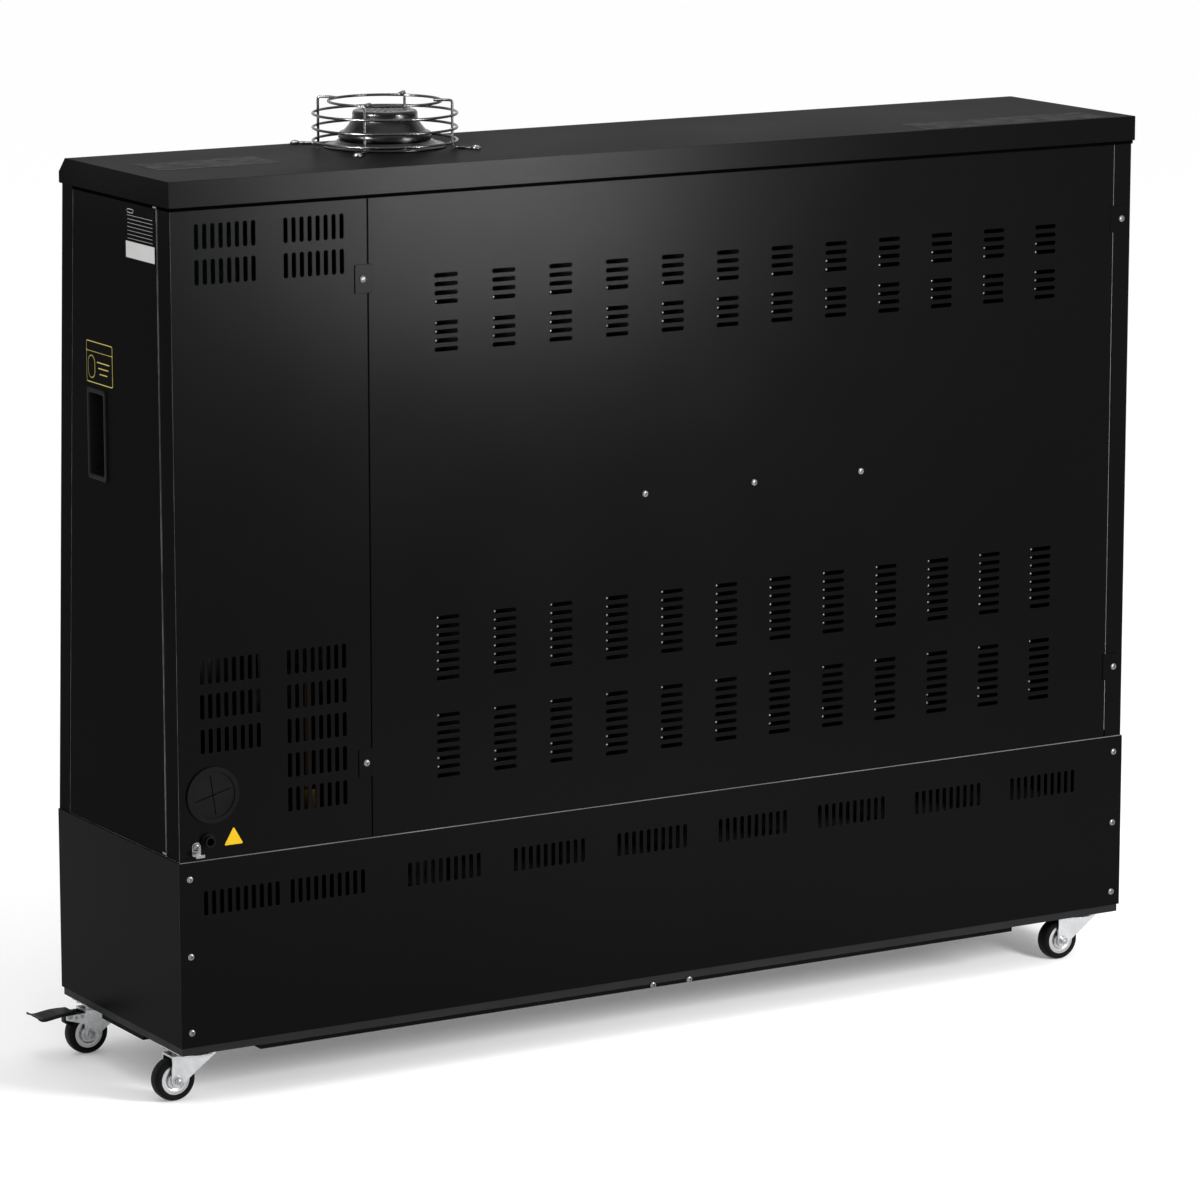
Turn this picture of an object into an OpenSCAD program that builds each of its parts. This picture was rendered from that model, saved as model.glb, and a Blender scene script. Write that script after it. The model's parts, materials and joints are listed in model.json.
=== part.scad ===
// Free-standing infrared diesel heater on four casters
// Millimetres, +Z up, the front faces -Y and the machine end is at +X
// The origin is on the floor under the middle of the heater's outer box

/* [Cabinet] */
// Width of the base box
cabinet_w = 1240; // [1200:5:1320]
// Depth of the base box
base_d = 302; // [296:1:330]
// Height of the base box
base_h = 205; // [195:5:240]
// Height of the body between the base and the lid
body_h = 705; // [700:5:760]
// Depth of the body right under the lid
body_top_d = 262.5; // [256:0.5:272]
// How far the body stands in from the faces of the base
body_inset = 1.5; // [1:0.5:3]
// Width of the front frame's flange on the ends of the body
front_flange_w = 25; // [20:1:32]
// Width of the strip that the rear panels fold round each corner
rear_wrap_w = 31; // [26:1:40]
// Gap at the seams between panels
seam = 1.8; // [0.8:0.1:2.4]
// Sheet thickness of the body panels and the lid
skin_t = 1.2; // [0.8:0.1:1.6]
// Sheet thickness of the base
base_t = 1.6; // [1.2:0.1:2]
// Gap between pieces that rest on or fit inside each other
fit_gap = 0.3; // [0.2:0.05:0.5]

/* [Lid] */
// Height of the lid's skirt
lid_h = 28; // [26:1:36]
// Size of the slanted edge along the lid's front
lid_chamfer = 16; // [8:1:18]
// How far the lid reaches past the faces of the base
lid_overhang = 1.5; // [1:0.5:3]
// Gap between the lid's front skirt and the body
lid_front_gap = 2; // [1.6:0.1:3]

/* [Underside] */
// How far the chassis tray shows below the base panels
tray_drop = 9; // [6:1:14]
// How far the drip pan hangs below the tray
pan_drop = 5; // [4:0.25:5]
// Distance from the machine end to the drip pan's rear and front parts
pan_end_right = 96; // [92:1:120]
// Distance from the other end to the drip pan's rear and front parts
pan_end_left = 153; // [100:1:170]
// Distance from the rear and front faces to the drip pan's end parts
pan_side_inset = 99.5; // [92:0.5:120]

/* [Casters] */
// Height of a caster from the floor to the top of its plate
caster_h = 59; // [59:1:66]
// Diameter of a caster wheel
wheel_d = 48; // [44:1:48]
// Width of a caster wheel
wheel_w = 18; // [16:1:20]
// Distance from the swivel axis to the wheel's axle
caster_trail = 25; // [22:1:26]
// Distance from each end of the base to the swivel axes
caster_inset_x = 34.2; // [33:0.2:40]
// Distance from the rear and front faces to the swivel axes
caster_inset_y = 42; // [36:1:44]
// Length of a caster's top plate
plate_l = 60; // [54:1:62]
// Width of a caster's top plate
plate_w = 48; // [44:1:52]
// Radius of the kingpin
kingpin_r = 4; // [3:0.5:5]
// Radius of the axle rivet
axle_r = 3; // [2.5:0.25:4]
// Distance from the swivel axis to the brake pedal's pin
pedal_pin_x = 50; // [49:0.5:51]
// Height of the brake pedal's pin
pedal_pin_z = 47.5; // [47:0.5:48]
// Distance from the swivel axis to the brake pedal's tip
pedal_reach = 91; // [84:1:96]
// Angle that the brake pedal swings through, down onto the tread
brake_throw = 11; // [8:0.5:12]
// Width of the brake pedal
pedal_w = 34; // [28:1:38]
// Clearance of a shaft in its bore, on the radius
run_gap = 0.05; // [0.02:0.01:0.1]

/* [Rear face] */
// Width of the panel behind the machine compartment
machine_w = 235.6; // [225:0.2:250]
// Distance from the far end to the seam of the main rear panel
post_w = 25; // [22:0.5:34]
// Columns of louvres
louvre_columns = 12; // [4:1:12]
// Distance between louvre columns
louvre_column_pitch = 71.65; // [60:0.05:74]
// Distance between louvres in a column, and between vent slots
slot_pitch = 9.6; // [9:0.1:11]
// Length of a louvre
louvre_l = 28.6; // [20:0.2:34]
// Height of a louvre's opening
louvre_h = 4.8; // [3.6:0.1:6]
// Width of a vent slot
vent_w = 4.9; // [3.6:0.1:5.4]
// Length of a vent slot
vent_l = 27; // [20:0.5:30]
// Distance between the rows of vent slots on the machine panel
vent_row_pitch = 37.8; // [34:0.1:44]
// Height of the screws in the middle of the main panel above the base's edge
mid_screw_z = 554.4; // [520:0.2:580]
// Distance between the screws in the middle of the main panel
mid_screw_pitch = 143; // [120:1:160]
// Radius of the rubber membrane's hole
membrane_r = 29; // [24:0.5:32]
// Radius of the cord bushing's bore
cord_bore_r = 4.2; // [3.4:0.1:5]

/* [Handles] */
// Width of a pocket handle's rim
handle_w = 45; // [42:1:54]
// Height of a pocket handle's rim
handle_h = 100; // [84:1:112]
// Depth of the pocket
handle_depth = 24; // [18:1:30]
// Height of the handle's middle above the base's edge
handle_z = 644; // [600:0.2:660]
// Distance from the rear face to the handle's middle
handle_back = 185.5; // [150:0.5:195]

/* [Heating chamber] */
// Distance between the passes of the radiant tube
pass_pitch = 135; // [128:1:138]
// Radius of the radiant tube
tube_r = 35; // [30:1:38]
// Wall of the radiant tube
tube_wall = 2; // [1:0.25:3]
// Radius of the combustion tube
burn_r = 55; // [50:1:60]
// Height of the combustion tube's axis above the deck
burn_z = 182; // [180:1:190]
// Distance from the rear face of the base to the plane of the tubes
tube_back = 172; // [168:1:176]
// Distance between the guard's bars
guard_pitch = 22; // [16:1:30]
// How far the guard stands off the front frame
guard_stand = 16; // [14:1:20]
// Radius of a guard bar
guard_bar_r = 1.6; // [1.2:0.1:2.2]
// Height of the window's lower edge above the deck, along the front
window_z = 118; // [112:1:122]
// Height of the window
window_h = 516; // [510:1:520]

/* [Flue] */
// Radius of the flue's base dish
dish_r = 67.5; // [60:0.5:72]
// Radius of the lower drum of the flue's head
drum_r = 51; // [46:0.5:55]
// Radius of the cap on the flue's head
cap_r = 36; // [34:0.5:42]
// Radius of the cage's three lower rings
cage_r = 79.5; // [76:0.5:88]
// Radius of the cage's top ring
cage_top_r = 62.3; // [56:0.5:68]
// Radius of the cage's wire
cage_wire_r = 1.5; // [1.2:0.1:2]
// Height of the cage
cage_h = 54.5; // [50:0.5:66]

/* [Controls] */
// Width of the control fascia
fascia_w = 200; // [190:1:206]
// Height of the control fascia
fascia_h = 190; // [180:1:210]
// Radius of a push button
button_r = 8; // [6:0.5:9]
// How far a push button travels
button_travel = 1; // [0.5:0.1:1.5]

/* [Burner] */
// Radius of the burner's fan housing
blower_r = 85; // [80:1:92]
// Depth of the burner's fan housing
blower_w = 78; // [70:1:84]
// Radius of the blast tube
blast_r = 40; // [34:1:44]
// Radius of the motor
motor_r = 44; // [36:1:50]
// Blades of the burner fan
fan_blades = 20; // [12:1:30]

/* [Fuel system] */
// Length of the fuel tank
tank_l = 860; // [800:10:900]
// Depth of the fuel tank
tank_d = 250; // [220:5:255]
// Height of the fuel tank
tank_h = 139; // [120:1:142]
// Outer radius of the filler neck
neck_r = 20; // [16:0.5:22]
// Outer radius of the fuel cap
fuel_cap_r = 29; // [26:0.5:32]
// Length of the level sender's float arm
float_arm_l = 70; // [60:1:72]

/* [Hidden] */

// Smoothness of round pieces, small pieces and holes
fn_big = 96;
fn_mid = 48;
fn_small = 24;
// Overcut that keeps cuts clean
cut = 1;

// Levels above the floor
tray_z = caster_h;
base_z = tray_z + tray_drop;
deck_z = base_z + base_h;
lid_z = deck_z + body_h;
top_z = lid_z + lid_h;
panel_top_z = top_z - skin_t - fit_gap;
front_top_z = top_z - lid_chamfer - 2;

// Half widths and faces of the cabinet before it is centred
half_w = cabinet_w / 2;
base_back = base_d / 2;
base_front = -base_d / 2;
body_half = half_w - body_inset;
body_back = base_back - body_inset;
body_front = base_front + 0.5;
body_front_top = body_back - body_top_d;
lid_half = half_w + lid_overhang;
lid_back = base_back + lid_overhang;
lid_front = body_front_top - lid_front_gap;
tray_half_w = half_w - base_t - 0.4;
tray_half_d = base_back - base_t - 0.4;
// How far the tray's walls stand up inside the base, and the deck's lip hangs down in it
tray_wall = 12;
deck_lip = 14;

// Slope of the front and the length of the front along it
front_lean = atan((body_front_top - body_front) / body_h);
front_l = (front_top_z - deck_z) / cos(front_lean);
function front_y(z) = body_front + (z - deck_z) * tan(front_lean);

// How far the outermost pieces reach, which centres the heater on its origin
caster_x = half_w - caster_inset_x;
caster_y = base_back - caster_inset_y;
clamp_reach = 11;
cap_reach = 26;
reach_right = caster_x + pedal_reach;
reach_left = lid_half;
reach_rear = body_back + clamp_reach;
reach_front = -base_front + cap_reach;
centre_x = (reach_left - reach_right) / 2;
centre_y = (reach_front - reach_rear) / 2;

// Seams of the rear face
machine_seam = half_w - machine_w;
post_seam = -half_w + post_w;
main_mid = (machine_seam + post_seam) / 2;

// Screws: radius of the head, its height, radius of the shank and its length
screw_head_r = 4;
screw_head_h = 2.2;
screw_r = 1.8;
screw_l = 6;
screw_hole_r = 2.2;

// Bolts of the casters: radius of the shank, and the hexagon's radius and height
bolt_r = 3;
bolt_head_r = 5.6;
bolt_head_h = 3.2;

// Tabs of the main rear panel that lap over its neighbours
tab_w = 16;
tab_h = 31;
tab_lap = 4;
tab_levels = [base_z + 289.6, base_z + 819.7];
tab_screw_in = 7;

// Rear screws as x, z
base_screws = [for (sx = [-1, 1], h = [16.6, 101, 186.7]) [sx * (half_w - 12.4), base_z + h * base_h / 205]];
mid_screws = [for (i = [-1:1]) [main_mid + i * mid_screw_pitch, base_z + mid_screw_z]];
tab_screws_right = [for (z = tab_levels) [machine_seam + tab_screw_in, z]];
tab_screws_left = [for (z = tab_levels) [post_seam - tab_screw_in - 3.5, z]];
pan_screws = [for (x = [-22, 26]) [x, tray_z - pan_drop + skin_t + screw_r + 0.1]];

// Fittings at the bottom corner of the machine panel, as x, z
membrane_at = [half_w - 41.8, base_z + 276];
clamp_at = [half_w - 21.2, base_z + 217];
bushing_at = [half_w - 35.1, base_z + 226.3];

// Handle pockets
handle_y = base_back - handle_back;
handle_mid_z = base_z + handle_z;
handle_rim = 3;
handle_wall = 2;

// Heating chamber
tube_y = base_back - tube_back;
burn_axis_z = deck_z + burn_z;
pass_z = [for (i = [0:3]) burn_axis_z + i * pass_pitch];
partition_x = machine_seam - 6;
bend_left = -half_w + 165;
bend_right = partition_x - 126;
bend_r = pass_pitch / 2;
flue_x = partition_x - 108.5;
flue_elbow_r = 60;
weld_gap = 0.2;
burn_wall = 3;
flange_t = 3;
reflector_y = tube_y + burn_r + 16;
reflector_t = 0.8;
shield_y = reflector_y + 46;
hanger_xs = [-300, 110];
hanger_t = 3;
window_left = -half_w + 55;
window_right = partition_x - 20;

// Control fascia, in the plane of the front
fascia_x = (partition_x + body_half) / 2;
fascia_z = front_l - 32 - fascia_h / 2;
fascia_t = 3;
board_y = 18;
display_w = 96;
display_h = 46;
display_up = 45;
display_seat = 1.6;
display_sink = 0.1;
button_spots = [[-60, -30], [-20, -30], [20, -30], [60, -30]];

// Burner
shaft_r = 5;
blower_x = partition_x + 21.5;
motor_x = blower_x + blower_w + fit_gap;
motor_l = 82;
fan_r = 62;
fan_l = 50;

// Fuel system
tank_z = tray_z + base_t + fit_gap;
tank_top = tank_z + tank_h;
tank_left = -half_w + 70;
tank_right = tank_left + tank_l;
tank_t = 1.5;
filler_x = tank_right - 110;
neck_z = tank_top + 35;
neck_end = base_front - 7;
neck_wall = 1.5;
well_half = neck_r + 4;
well_y = base_front + 71;
well_top = neck_z + well_half;
gasket_t = 2;
sender_x = tank_left + tank_l / 2;
float_pivot_z = tank_top - 75;
float_rest = 40;
float_r = 12;
pump_x = blower_x + blower_w / 2;
pump_y = base_back - 51;
pickup_x = tank_right - 50;
pickup_lift = 20;
line_r = 4;
line_z = tank_top + 35;
line_bend = 14;
pump_h = 62;

// Puts a piece drawn about the cabinet's middle onto the heater's origin
module at_cabinet() {
    translate([centre_x, centre_y, 0]) children();
}

// Puts a piece drawn in the plane of the front: x, inwards, up along the slope
module at_front() {
    at_cabinet() translate([0, body_front, deck_z]) rotate([-front_lean, 0, 0]) children();
}

// Box from its low corner to its high corner
module span(a, b) {
    translate(a) cube(b - a);
}

// Rod along X, Y or Z between two places on its axis
module rod_x(x0, x1, y, z, r, fn = fn_mid) {
    translate([x0, y, z]) rotate([0, 90, 0]) cylinder(h = x1 - x0, r = r, $fn = fn);
}

module rod_y(x, y0, y1, z, r, fn = fn_mid) {
    translate([x, y0, z]) rotate([-90, 0, 0]) cylinder(h = y1 - y0, r = r, $fn = fn);
}

module rod_z(x, y, z0, z1, r, fn = fn_mid) {
    translate([x, y, z0]) cylinder(h = z1 - z0, r = r, $fn = fn);
}

// Slot with round ends, l long along X
module slot_2d(l, w) {
    square([l - w, w], center = true);
    for (s = [-1, 1]) translate([s * (l - w) / 2, 0]) circle(d = w, $fn = fn_small);
}

// Rear wall drawn as seen from the front, x to the right and z up, then stood up with its outer face at y
module rear_wall(y, t) {
    translate([0, y, 0]) rotate([90, 0, 0]) linear_extrude(t) children();
}

// Group of upright vent slots whose first slot is at distance u from the machine end
module vent_group(u, z, count) {
    for (i = [0:count - 1]) translate([half_w - u - i * slot_pitch, z]) rotate(90) slot_2d(vent_l, vent_w);
}

// Holes for screws at a list of x, z places
module screw_holes_2d(spots) {
    for (p = spots) translate(p) circle(r = screw_hole_r, $fn = fn_small);
}

// Pan head screw that enters along +Y from a rear face at y = 0
module screw() {
    rod_y(0, 0, screw_head_h, 0, screw_head_r, fn_small);
    rod_y(0, -screw_l, 0, 0, screw_r, fn_small);
}

// Base and underside

module pan_outline(inset) {
    translate([-half_w + pan_end_left + inset, -tray_half_d + inset])
        square([2 * half_w - pan_end_left - pan_end_right - 2 * inset, 2 * tray_half_d - 2 * inset]);
    translate([-tray_half_w + inset, base_front + pan_side_inset + inset])
        square([2 * tray_half_w - 2 * inset, base_d - 2 * pan_side_inset - 2 * inset]);
}

// Places of the four casters: rear and front, right and left
module at_casters(sides_x, sides_y) {
    for (sx = sides_x, sy = sides_y) translate([sx * caster_x, sy * caster_y, 0]) children();
}

// Places of the four bolts of one caster plate
module at_plate_bolts() {
    for (sx = [-1, 1], sy = [-1, 1]) translate([sx * (plate_l / 2 - 7.5), sy * (plate_w / 2 - 7), 0]) children();
}

module plate_holes() {
    at_plate_bolts() rod_z(0, 0, tray_z - 4, tray_z + 4, bolt_r + 0.2, fn_small);
}

module chassis_tray() {
    color("#17181a") at_cabinet() difference() {
        span([-tray_half_w, -tray_half_d, tray_z], [tray_half_w, tray_half_d, base_z + tray_wall]);
        span([-tray_half_w + base_t, -tray_half_d + base_t, tray_z + base_t],
             [tray_half_w - base_t, tray_half_d - base_t, base_z + tray_wall + cut]);
        at_casters([-1, 1], [-1, 1]) plate_holes();
    }
}

module drip_pan() {
    color("#141517") at_cabinet() difference() {
        translate([0, 0, tray_z - pan_drop]) linear_extrude(pan_drop) pan_outline(0);
        translate([0, 0, tray_z - pan_drop + skin_t]) linear_extrude(pan_drop) pan_outline(skin_t);
        // Notches for the two screws
        for (p = pan_screws) {
            rod_y(p[0], tray_half_d - 3, tray_half_d + 3, p[1], screw_r + 0.1, fn_small);
            span([p[0] - screw_r - 0.1, tray_half_d - 3, p[1]], [p[0] + screw_r + 0.1, tray_half_d + 3, tray_z + cut]);
        }
    }
}

module base_shell() {
    flange_w = 24;
    back = base_back - base_t - fit_gap;
    color("#151618") at_cabinet() difference() {
        union() {
            difference() {
                span([-half_w, base_front, base_z], [half_w, back, deck_z]);
                span([-half_w + base_t, base_front + base_t, base_z - cut], [half_w - base_t, base_back, deck_z + cut]);
            }
            // Flanges that take the screws of the rear panel
            for (x = [-half_w + base_t - 0.1, half_w - base_t + 0.1 - flange_w])
                span([x, back - base_t, base_z + tray_wall + 1], [x + flange_w, back, deck_z - deck_lip - 1]);
        }
        rod_y(filler_x, base_front - cut, base_front + base_t + cut, neck_z, neck_r + 2);
        for (p = base_screws) rod_y(p[0], back - 5, back + cut, p[1], screw_hole_r, fn_small);
    }
}

module base_rear_panel() {
    // Two vent groups behind the machines, then seven evenly spaced along the rest
    group_starts = concat([31.6, 136.3], [for (i = [0:6]) 281.2 + 133.6 * i]);
    color("#151618") at_cabinet() rear_wall(base_back, base_t) difference() {
        translate([-half_w, base_z]) square([cabinet_w, base_h]);
        for (u = group_starts) vent_group(u, base_z + 158, 10);
        screw_holes_2d(base_screws);
    }
}

module base_deck() {
    side = half_w - base_t - fit_gap;
    front = base_front + base_t + fit_gap;
    back = base_back - base_t - fit_gap;
    color("#141517") at_cabinet() difference() {
        span([-side, front, deck_z - deck_lip], [side, back, deck_z]);
        span([-side + base_t, front + base_t, deck_z - deck_lip - cut], [side - base_t, back - base_t, deck_z - base_t]);
        rod_z(pump_x, pump_y, deck_z - 5, deck_z + 5, line_r + 2);
        for (x = [-450, -150, 150]) translate([x, 90, deck_z - 3]) linear_extrude(6) slot_2d(120, 24);
    }
}

// Body panels

module side_outline() {
    back = body_back - rear_wrap_w - seam;
    polygon([
        [front_y(deck_z) + front_flange_w + seam, deck_z + fit_gap],
        [back, deck_z + fit_gap],
        [back, panel_top_z],
        [front_y(panel_top_z) + front_flange_w + seam, panel_top_z]
    ]);
}

// Side panel: s is 1 at the machine end and -1 at the other
module side_panel(s) {
    at_cabinet() difference() {
        translate([s > 0 ? body_half - skin_t : -body_half, 0, 0])
            rotate([90, 0, 90]) linear_extrude(skin_t) side_outline();
        span([s * body_half - 3, handle_y - handle_w / 2 + handle_rim, handle_mid_z - handle_h / 2 + handle_rim],
             [s * body_half + 3, handle_y + handle_w / 2 - handle_rim, handle_mid_z + handle_h / 2 - handle_rim]);
    }
}

module side_panel_right() {
    color("#151618") side_panel(1);
}

module side_panel_left() {
    color("#151618") side_panel(-1);
}

// Pocket handle: a rim on the panel and a cup behind it, drawn for the machine end
module pocket_handle() {
    cup_w = handle_w - 2 * handle_rim - 2 * fit_gap;
    cup_h = handle_h - 2 * handle_rim - 2 * fit_gap;
    translate([0, handle_y, handle_mid_z]) difference() {
        union() {
            span([0, -handle_w / 2, -handle_h / 2], [1.6, handle_w / 2, handle_h / 2]);
            span([-handle_depth, -cup_w / 2, -cup_h / 2], [0, cup_w / 2, cup_h / 2]);
        }
        span([-handle_depth + handle_wall, -cup_w / 2 + handle_wall, -cup_h / 2 + handle_wall],
             [1.6 + cut, cup_w / 2 - handle_wall, cup_h / 2 - handle_wall]);
    }
}

module handle_right() {
    color("#0d0d0e") at_cabinet() translate([body_half, 0, 0]) pocket_handle();
}

module handle_left() {
    color("#0d0d0e") at_cabinet() mirror([1, 0, 0]) translate([body_half, 0, 0]) pocket_handle();
}

// Strip that a rear panel folds round the corner onto the end of the body
module corner_wrap(s) {
    x = s > 0 ? body_half - skin_t : -body_half;
    span([x, body_back - rear_wrap_w, deck_z + fit_gap], [x + skin_t, body_back, panel_top_z]);
}

module machine_rear_panel() {
    color("#151618") at_cabinet() {
        rear_wall(body_back, skin_t) difference() {
            translate([machine_seam + seam / 2, deck_z + fit_gap])
                square([body_half - machine_seam - seam / 2, panel_top_z - deck_z - fit_gap]);
            for (u = [31.6, 137.2], row = [0:1]) vent_group(u, base_z + 878 - row * vent_row_pitch, 8);
            for (row = [0:2]) vent_group(31, base_z + 411 - row * vent_row_pitch, 8);
            for (row = [0:4]) vent_group(135.5, base_z + 411 - row * vent_row_pitch, 8);
            translate(membrane_at) circle(r = membrane_r, $fn = fn_mid);
            translate(bushing_at) circle(r = cord_bore_r + 2.3, $fn = fn_small);
            translate(clamp_at + [0, 4]) circle(r = screw_hole_r, $fn = fn_small);
            screw_holes_2d(tab_screws_right);
        }
        corner_wrap(1);
    }
}

// Blocks of louvres: height of the top louvre above the base's edge, and how many
louvre_blocks = [[817, 4], [765, 4], [440.5, 8], [331.5, 8]];

module main_rear_panel() {
    first = main_mid - (louvre_columns - 1) / 2 * louvre_column_pitch;
    color("#151618") at_cabinet() {
        rear_wall(body_back, skin_t) difference() {
            translate([post_seam + seam / 2, deck_z + fit_gap])
                square([machine_seam - post_seam - seam, panel_top_z - deck_z - fit_gap]);
            for (c = [0:louvre_columns - 1], b = louvre_blocks, i = [0:b[1] - 1])
                translate([first + c * louvre_column_pitch, base_z + b[0] - i * slot_pitch])
                    slot_2d(louvre_l, louvre_h);
            screw_holes_2d(mid_screws);
        }
        rear_wall(body_back + skin_t, skin_t) difference() {
            for (z = tab_levels) {
                translate([machine_seam - tab_lap, z - tab_h / 2]) square([tab_w + tab_lap, tab_h]);
                translate([post_seam - tab_w, z - tab_h / 2]) square([tab_w + tab_lap, tab_h]);
            }
            screw_holes_2d(tab_screws_right);
            screw_holes_2d(tab_screws_left);
        }
    }
}

module rear_corner_post() {
    color("#151618") at_cabinet() {
        rear_wall(body_back, skin_t) difference() {
            translate([-body_half, deck_z + fit_gap])
                square([body_half + post_seam - seam / 2, panel_top_z - deck_z - fit_gap]);
            screw_holes_2d(tab_screws_left);
        }
        corner_wrap(-1);
    }
}

// Outline of the lid seen from the end, drawn in by t
module lid_outline(t) {
    slant = t * (sqrt(2) - 1);
    polygon([
        [lid_back - t, lid_z - (t > 0 ? cut : 0)],
        [lid_back - t, top_z - t],
        [lid_front + lid_chamfer + slant, top_z - t],
        [lid_front + t, top_z - lid_chamfer - slant],
        [lid_front + t, lid_z - (t > 0 ? cut : 0)]
    ]);
}

// Directions of the cage's four feet round the flue
cage_angles = [45, 135, 225, 315];
cage_foot_r = 104;

module lid() {
    color("#17181a") at_cabinet() difference() {
        translate([-lid_half, 0, 0]) rotate([90, 0, 90]) linear_extrude(2 * lid_half) lid_outline(0);
        translate([-lid_half + skin_t, 0, 0])
            rotate([90, 0, 90]) linear_extrude(2 * lid_half - 2 * skin_t) lid_outline(skin_t);
        rod_z(flue_x, tube_y, top_z - 3, top_z + cut, tube_r + 4, fn_big);
        for (a = cage_angles)
            translate([flue_x, tube_y, 0]) rotate(a) rod_z(cage_foot_r, 0, top_z - 3, top_z + cut, screw_hole_r);
    }
}

module front_frame() {
    lip = 14;
    hole_w = fascia_w - 12;
    hole_h = fascia_h - 12;
    color("#151618") difference() {
        at_front() difference() {
            union() {
                span([-body_half, 0, 0], [body_half, skin_t, front_l]);
                for (x = [-body_half, body_half - skin_t]) span([x, 0, -2], [x + skin_t, front_flange_w, front_l]);
                span([window_left - skin_t, 0, window_z - skin_t],
                     [window_right + skin_t, lip, window_z + window_h + skin_t]);
            }
            span([window_left, -cut, window_z], [window_right, lip + cut, window_z + window_h]);
            span([fascia_x - hole_w / 2, -cut, fascia_z - hole_h / 2],
                 [fascia_x + hole_w / 2, lip, fascia_z + hole_h / 2]);
        }
        at_cabinet() span([-half_w, base_front - 5, deck_z - 20], [half_w, 0, deck_z + fit_gap]);
    }
}

// Heating chamber

module guard_grille() {
    rim = 8;
    strap_t = 2;
    strap_w = 10;
    spacer_r = 4;
    left = window_left - 12;
    right = window_right + 12;
    low = window_z - rim;
    high = window_z + window_h + rim;
    bars = floor((high - low - 10) / guard_pitch) + 1;
    first = (low + high - (bars - 1) * guard_pitch) / 2;
    bar_y = -guard_stand - strap_t - weld_gap - guard_bar_r;
    // Upright straps on spacers that stand on the frame, with the bars welded across them
    straps = [for (i = [0:3]) left + strap_w / 2 + (right - left - strap_w) * i / 3];
    color("#0f0f10") at_front() {
        for (i = [0:bars - 1]) rod_x(left, right, bar_y, first + i * guard_pitch, guard_bar_r, fn_small);
        for (x = straps) {
            span([x - strap_w / 2, -guard_stand - strap_t, low], [x + strap_w / 2, -guard_stand, high]);
            for (z = [low + spacer_r, high - spacer_r])
                rod_y(x, -guard_stand + weld_gap, -fit_gap, z, spacer_r, fn_small);
        }
    }
}

// Chamber levels where the reflector meets the window
function slope_z(l) = deck_z + l * cos(front_lean);
mirror_low = slope_z(window_z) - 6;
mirror_high = slope_z(window_z + window_h) + 6;

module reflector() {
    // How far the upper and lower faces slope towards the back
    slope = 6;
    front_in = 16.5;
    left = window_left - 8;
    right = window_right + 8;
    function outline(t) = [
        [front_y(mirror_low) + front_in, mirror_low - t],
        [reflector_y + t, mirror_low + slope - t],
        [reflector_y + t, mirror_high - slope + t],
        [front_y(mirror_high) + front_in, mirror_high + t]
    ];
    inner = outline(0);
    outer = outline(reflector_t);
    color("#c9ccd0") at_cabinet() difference() {
        union() {
            translate([left, 0, 0]) rotate([90, 0, 90]) linear_extrude(right - left)
                polygon(concat(outer, [inner[3], inner[2], inner[1], inner[0]]));
            for (x = [left, right - reflector_t])
                translate([x, 0, 0]) rotate([90, 0, 90]) linear_extrude(reflector_t) polygon(outer);
        }
        rod_z(flue_x, tube_y, mirror_high - slope - 5, mirror_high + 5, tube_r + 6);
        rod_x(right - 5, right + 5, tube_y, burn_axis_z, burn_r + 4);
    }
}

module heat_shield() {
    hat_h = 40;
    hat_half = mid_screw_pitch + 25;
    z = base_z + mid_screw_z;
    color("#9a9c9e") at_cabinet() {
        span([post_seam + 2, shield_y, deck_z + 10], [partition_x - fit_gap, shield_y + 1, lid_z - 6]);
        // Hat rail that reaches the rear panel, where the three screws hold it
        difference() {
            span([main_mid - hat_half, shield_y + 1, z - hat_h / 2],
                 [main_mid + hat_half, body_back - skin_t - fit_gap, z + hat_h / 2]);
            span([main_mid - hat_half - cut, shield_y, z - hat_h / 2 + 1.2],
                 [main_mid + hat_half + cut, body_back - skin_t - fit_gap - 1.2, z + hat_h / 2 - 1.2]);
            for (p = mid_screws) rod_y(p[0], body_back - 6, body_back, p[1], screw_hole_r, fn_small);
        }
        // Plates that carry the reflector on the shield
        for (x = [-480, -100, 280], s = [mirror_low + 45, mirror_high - 47])
            span([x, reflector_y + reflector_t + fit_gap, s], [x + 30, shield_y, s + 2]);
    }
}

module partition_wall() {
    back = body_back - skin_t - fit_gap;
    color("#8f9194") at_cabinet() difference() {
        union() {
            translate([partition_x, 0, 0]) rotate([90, 0, 90]) linear_extrude(skin_t) polygon([
                [front_y(deck_z) + skin_t + 1, deck_z + fit_gap],
                [back, deck_z + fit_gap],
                [back, lid_z + 4],
                [front_y(lid_z) + skin_t + 1, lid_z + 4]
            ]);
            span([partition_x - 14, back - skin_t, deck_z + fit_gap], [partition_x + 30, back, lid_z + 4]);
        }
        rod_x(partition_x - 5, partition_x + 5, tube_y, burn_axis_z, blast_r + 2);
        for (p = tab_screws_right) rod_y(p[0], back - 3, back + 3, p[1], screw_hole_r, fn_small);
    }
}

module combustion_tube() {
    color("#8d8a86") at_cabinet() difference() {
        union() {
            rod_x(bend_left, partition_x - fit_gap, tube_y, burn_axis_z, burn_r, fn_big);
            rod_x(partition_x - fit_gap - flange_t, partition_x - fit_gap, tube_y, burn_axis_z, burn_r + 17, fn_big);
        }
        rod_x(bend_left + burn_wall, partition_x + cut, tube_y, burn_axis_z, burn_r - burn_wall, fn_big);
        rod_x(bend_left - cut, bend_left + burn_wall + cut, tube_y, burn_axis_z, tube_r + fit_gap, fn_big);
    }
}

// Pipe of the radiant tube along X, and a bent length of it drawn about its bend's centre
module pipe_x(x0, x1, z) {
    difference() {
        rod_x(x0, x1, tube_y, z, tube_r);
        rod_x(x0 - cut, x1 + cut, tube_y, z, tube_r - tube_wall);
    }
}

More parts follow.
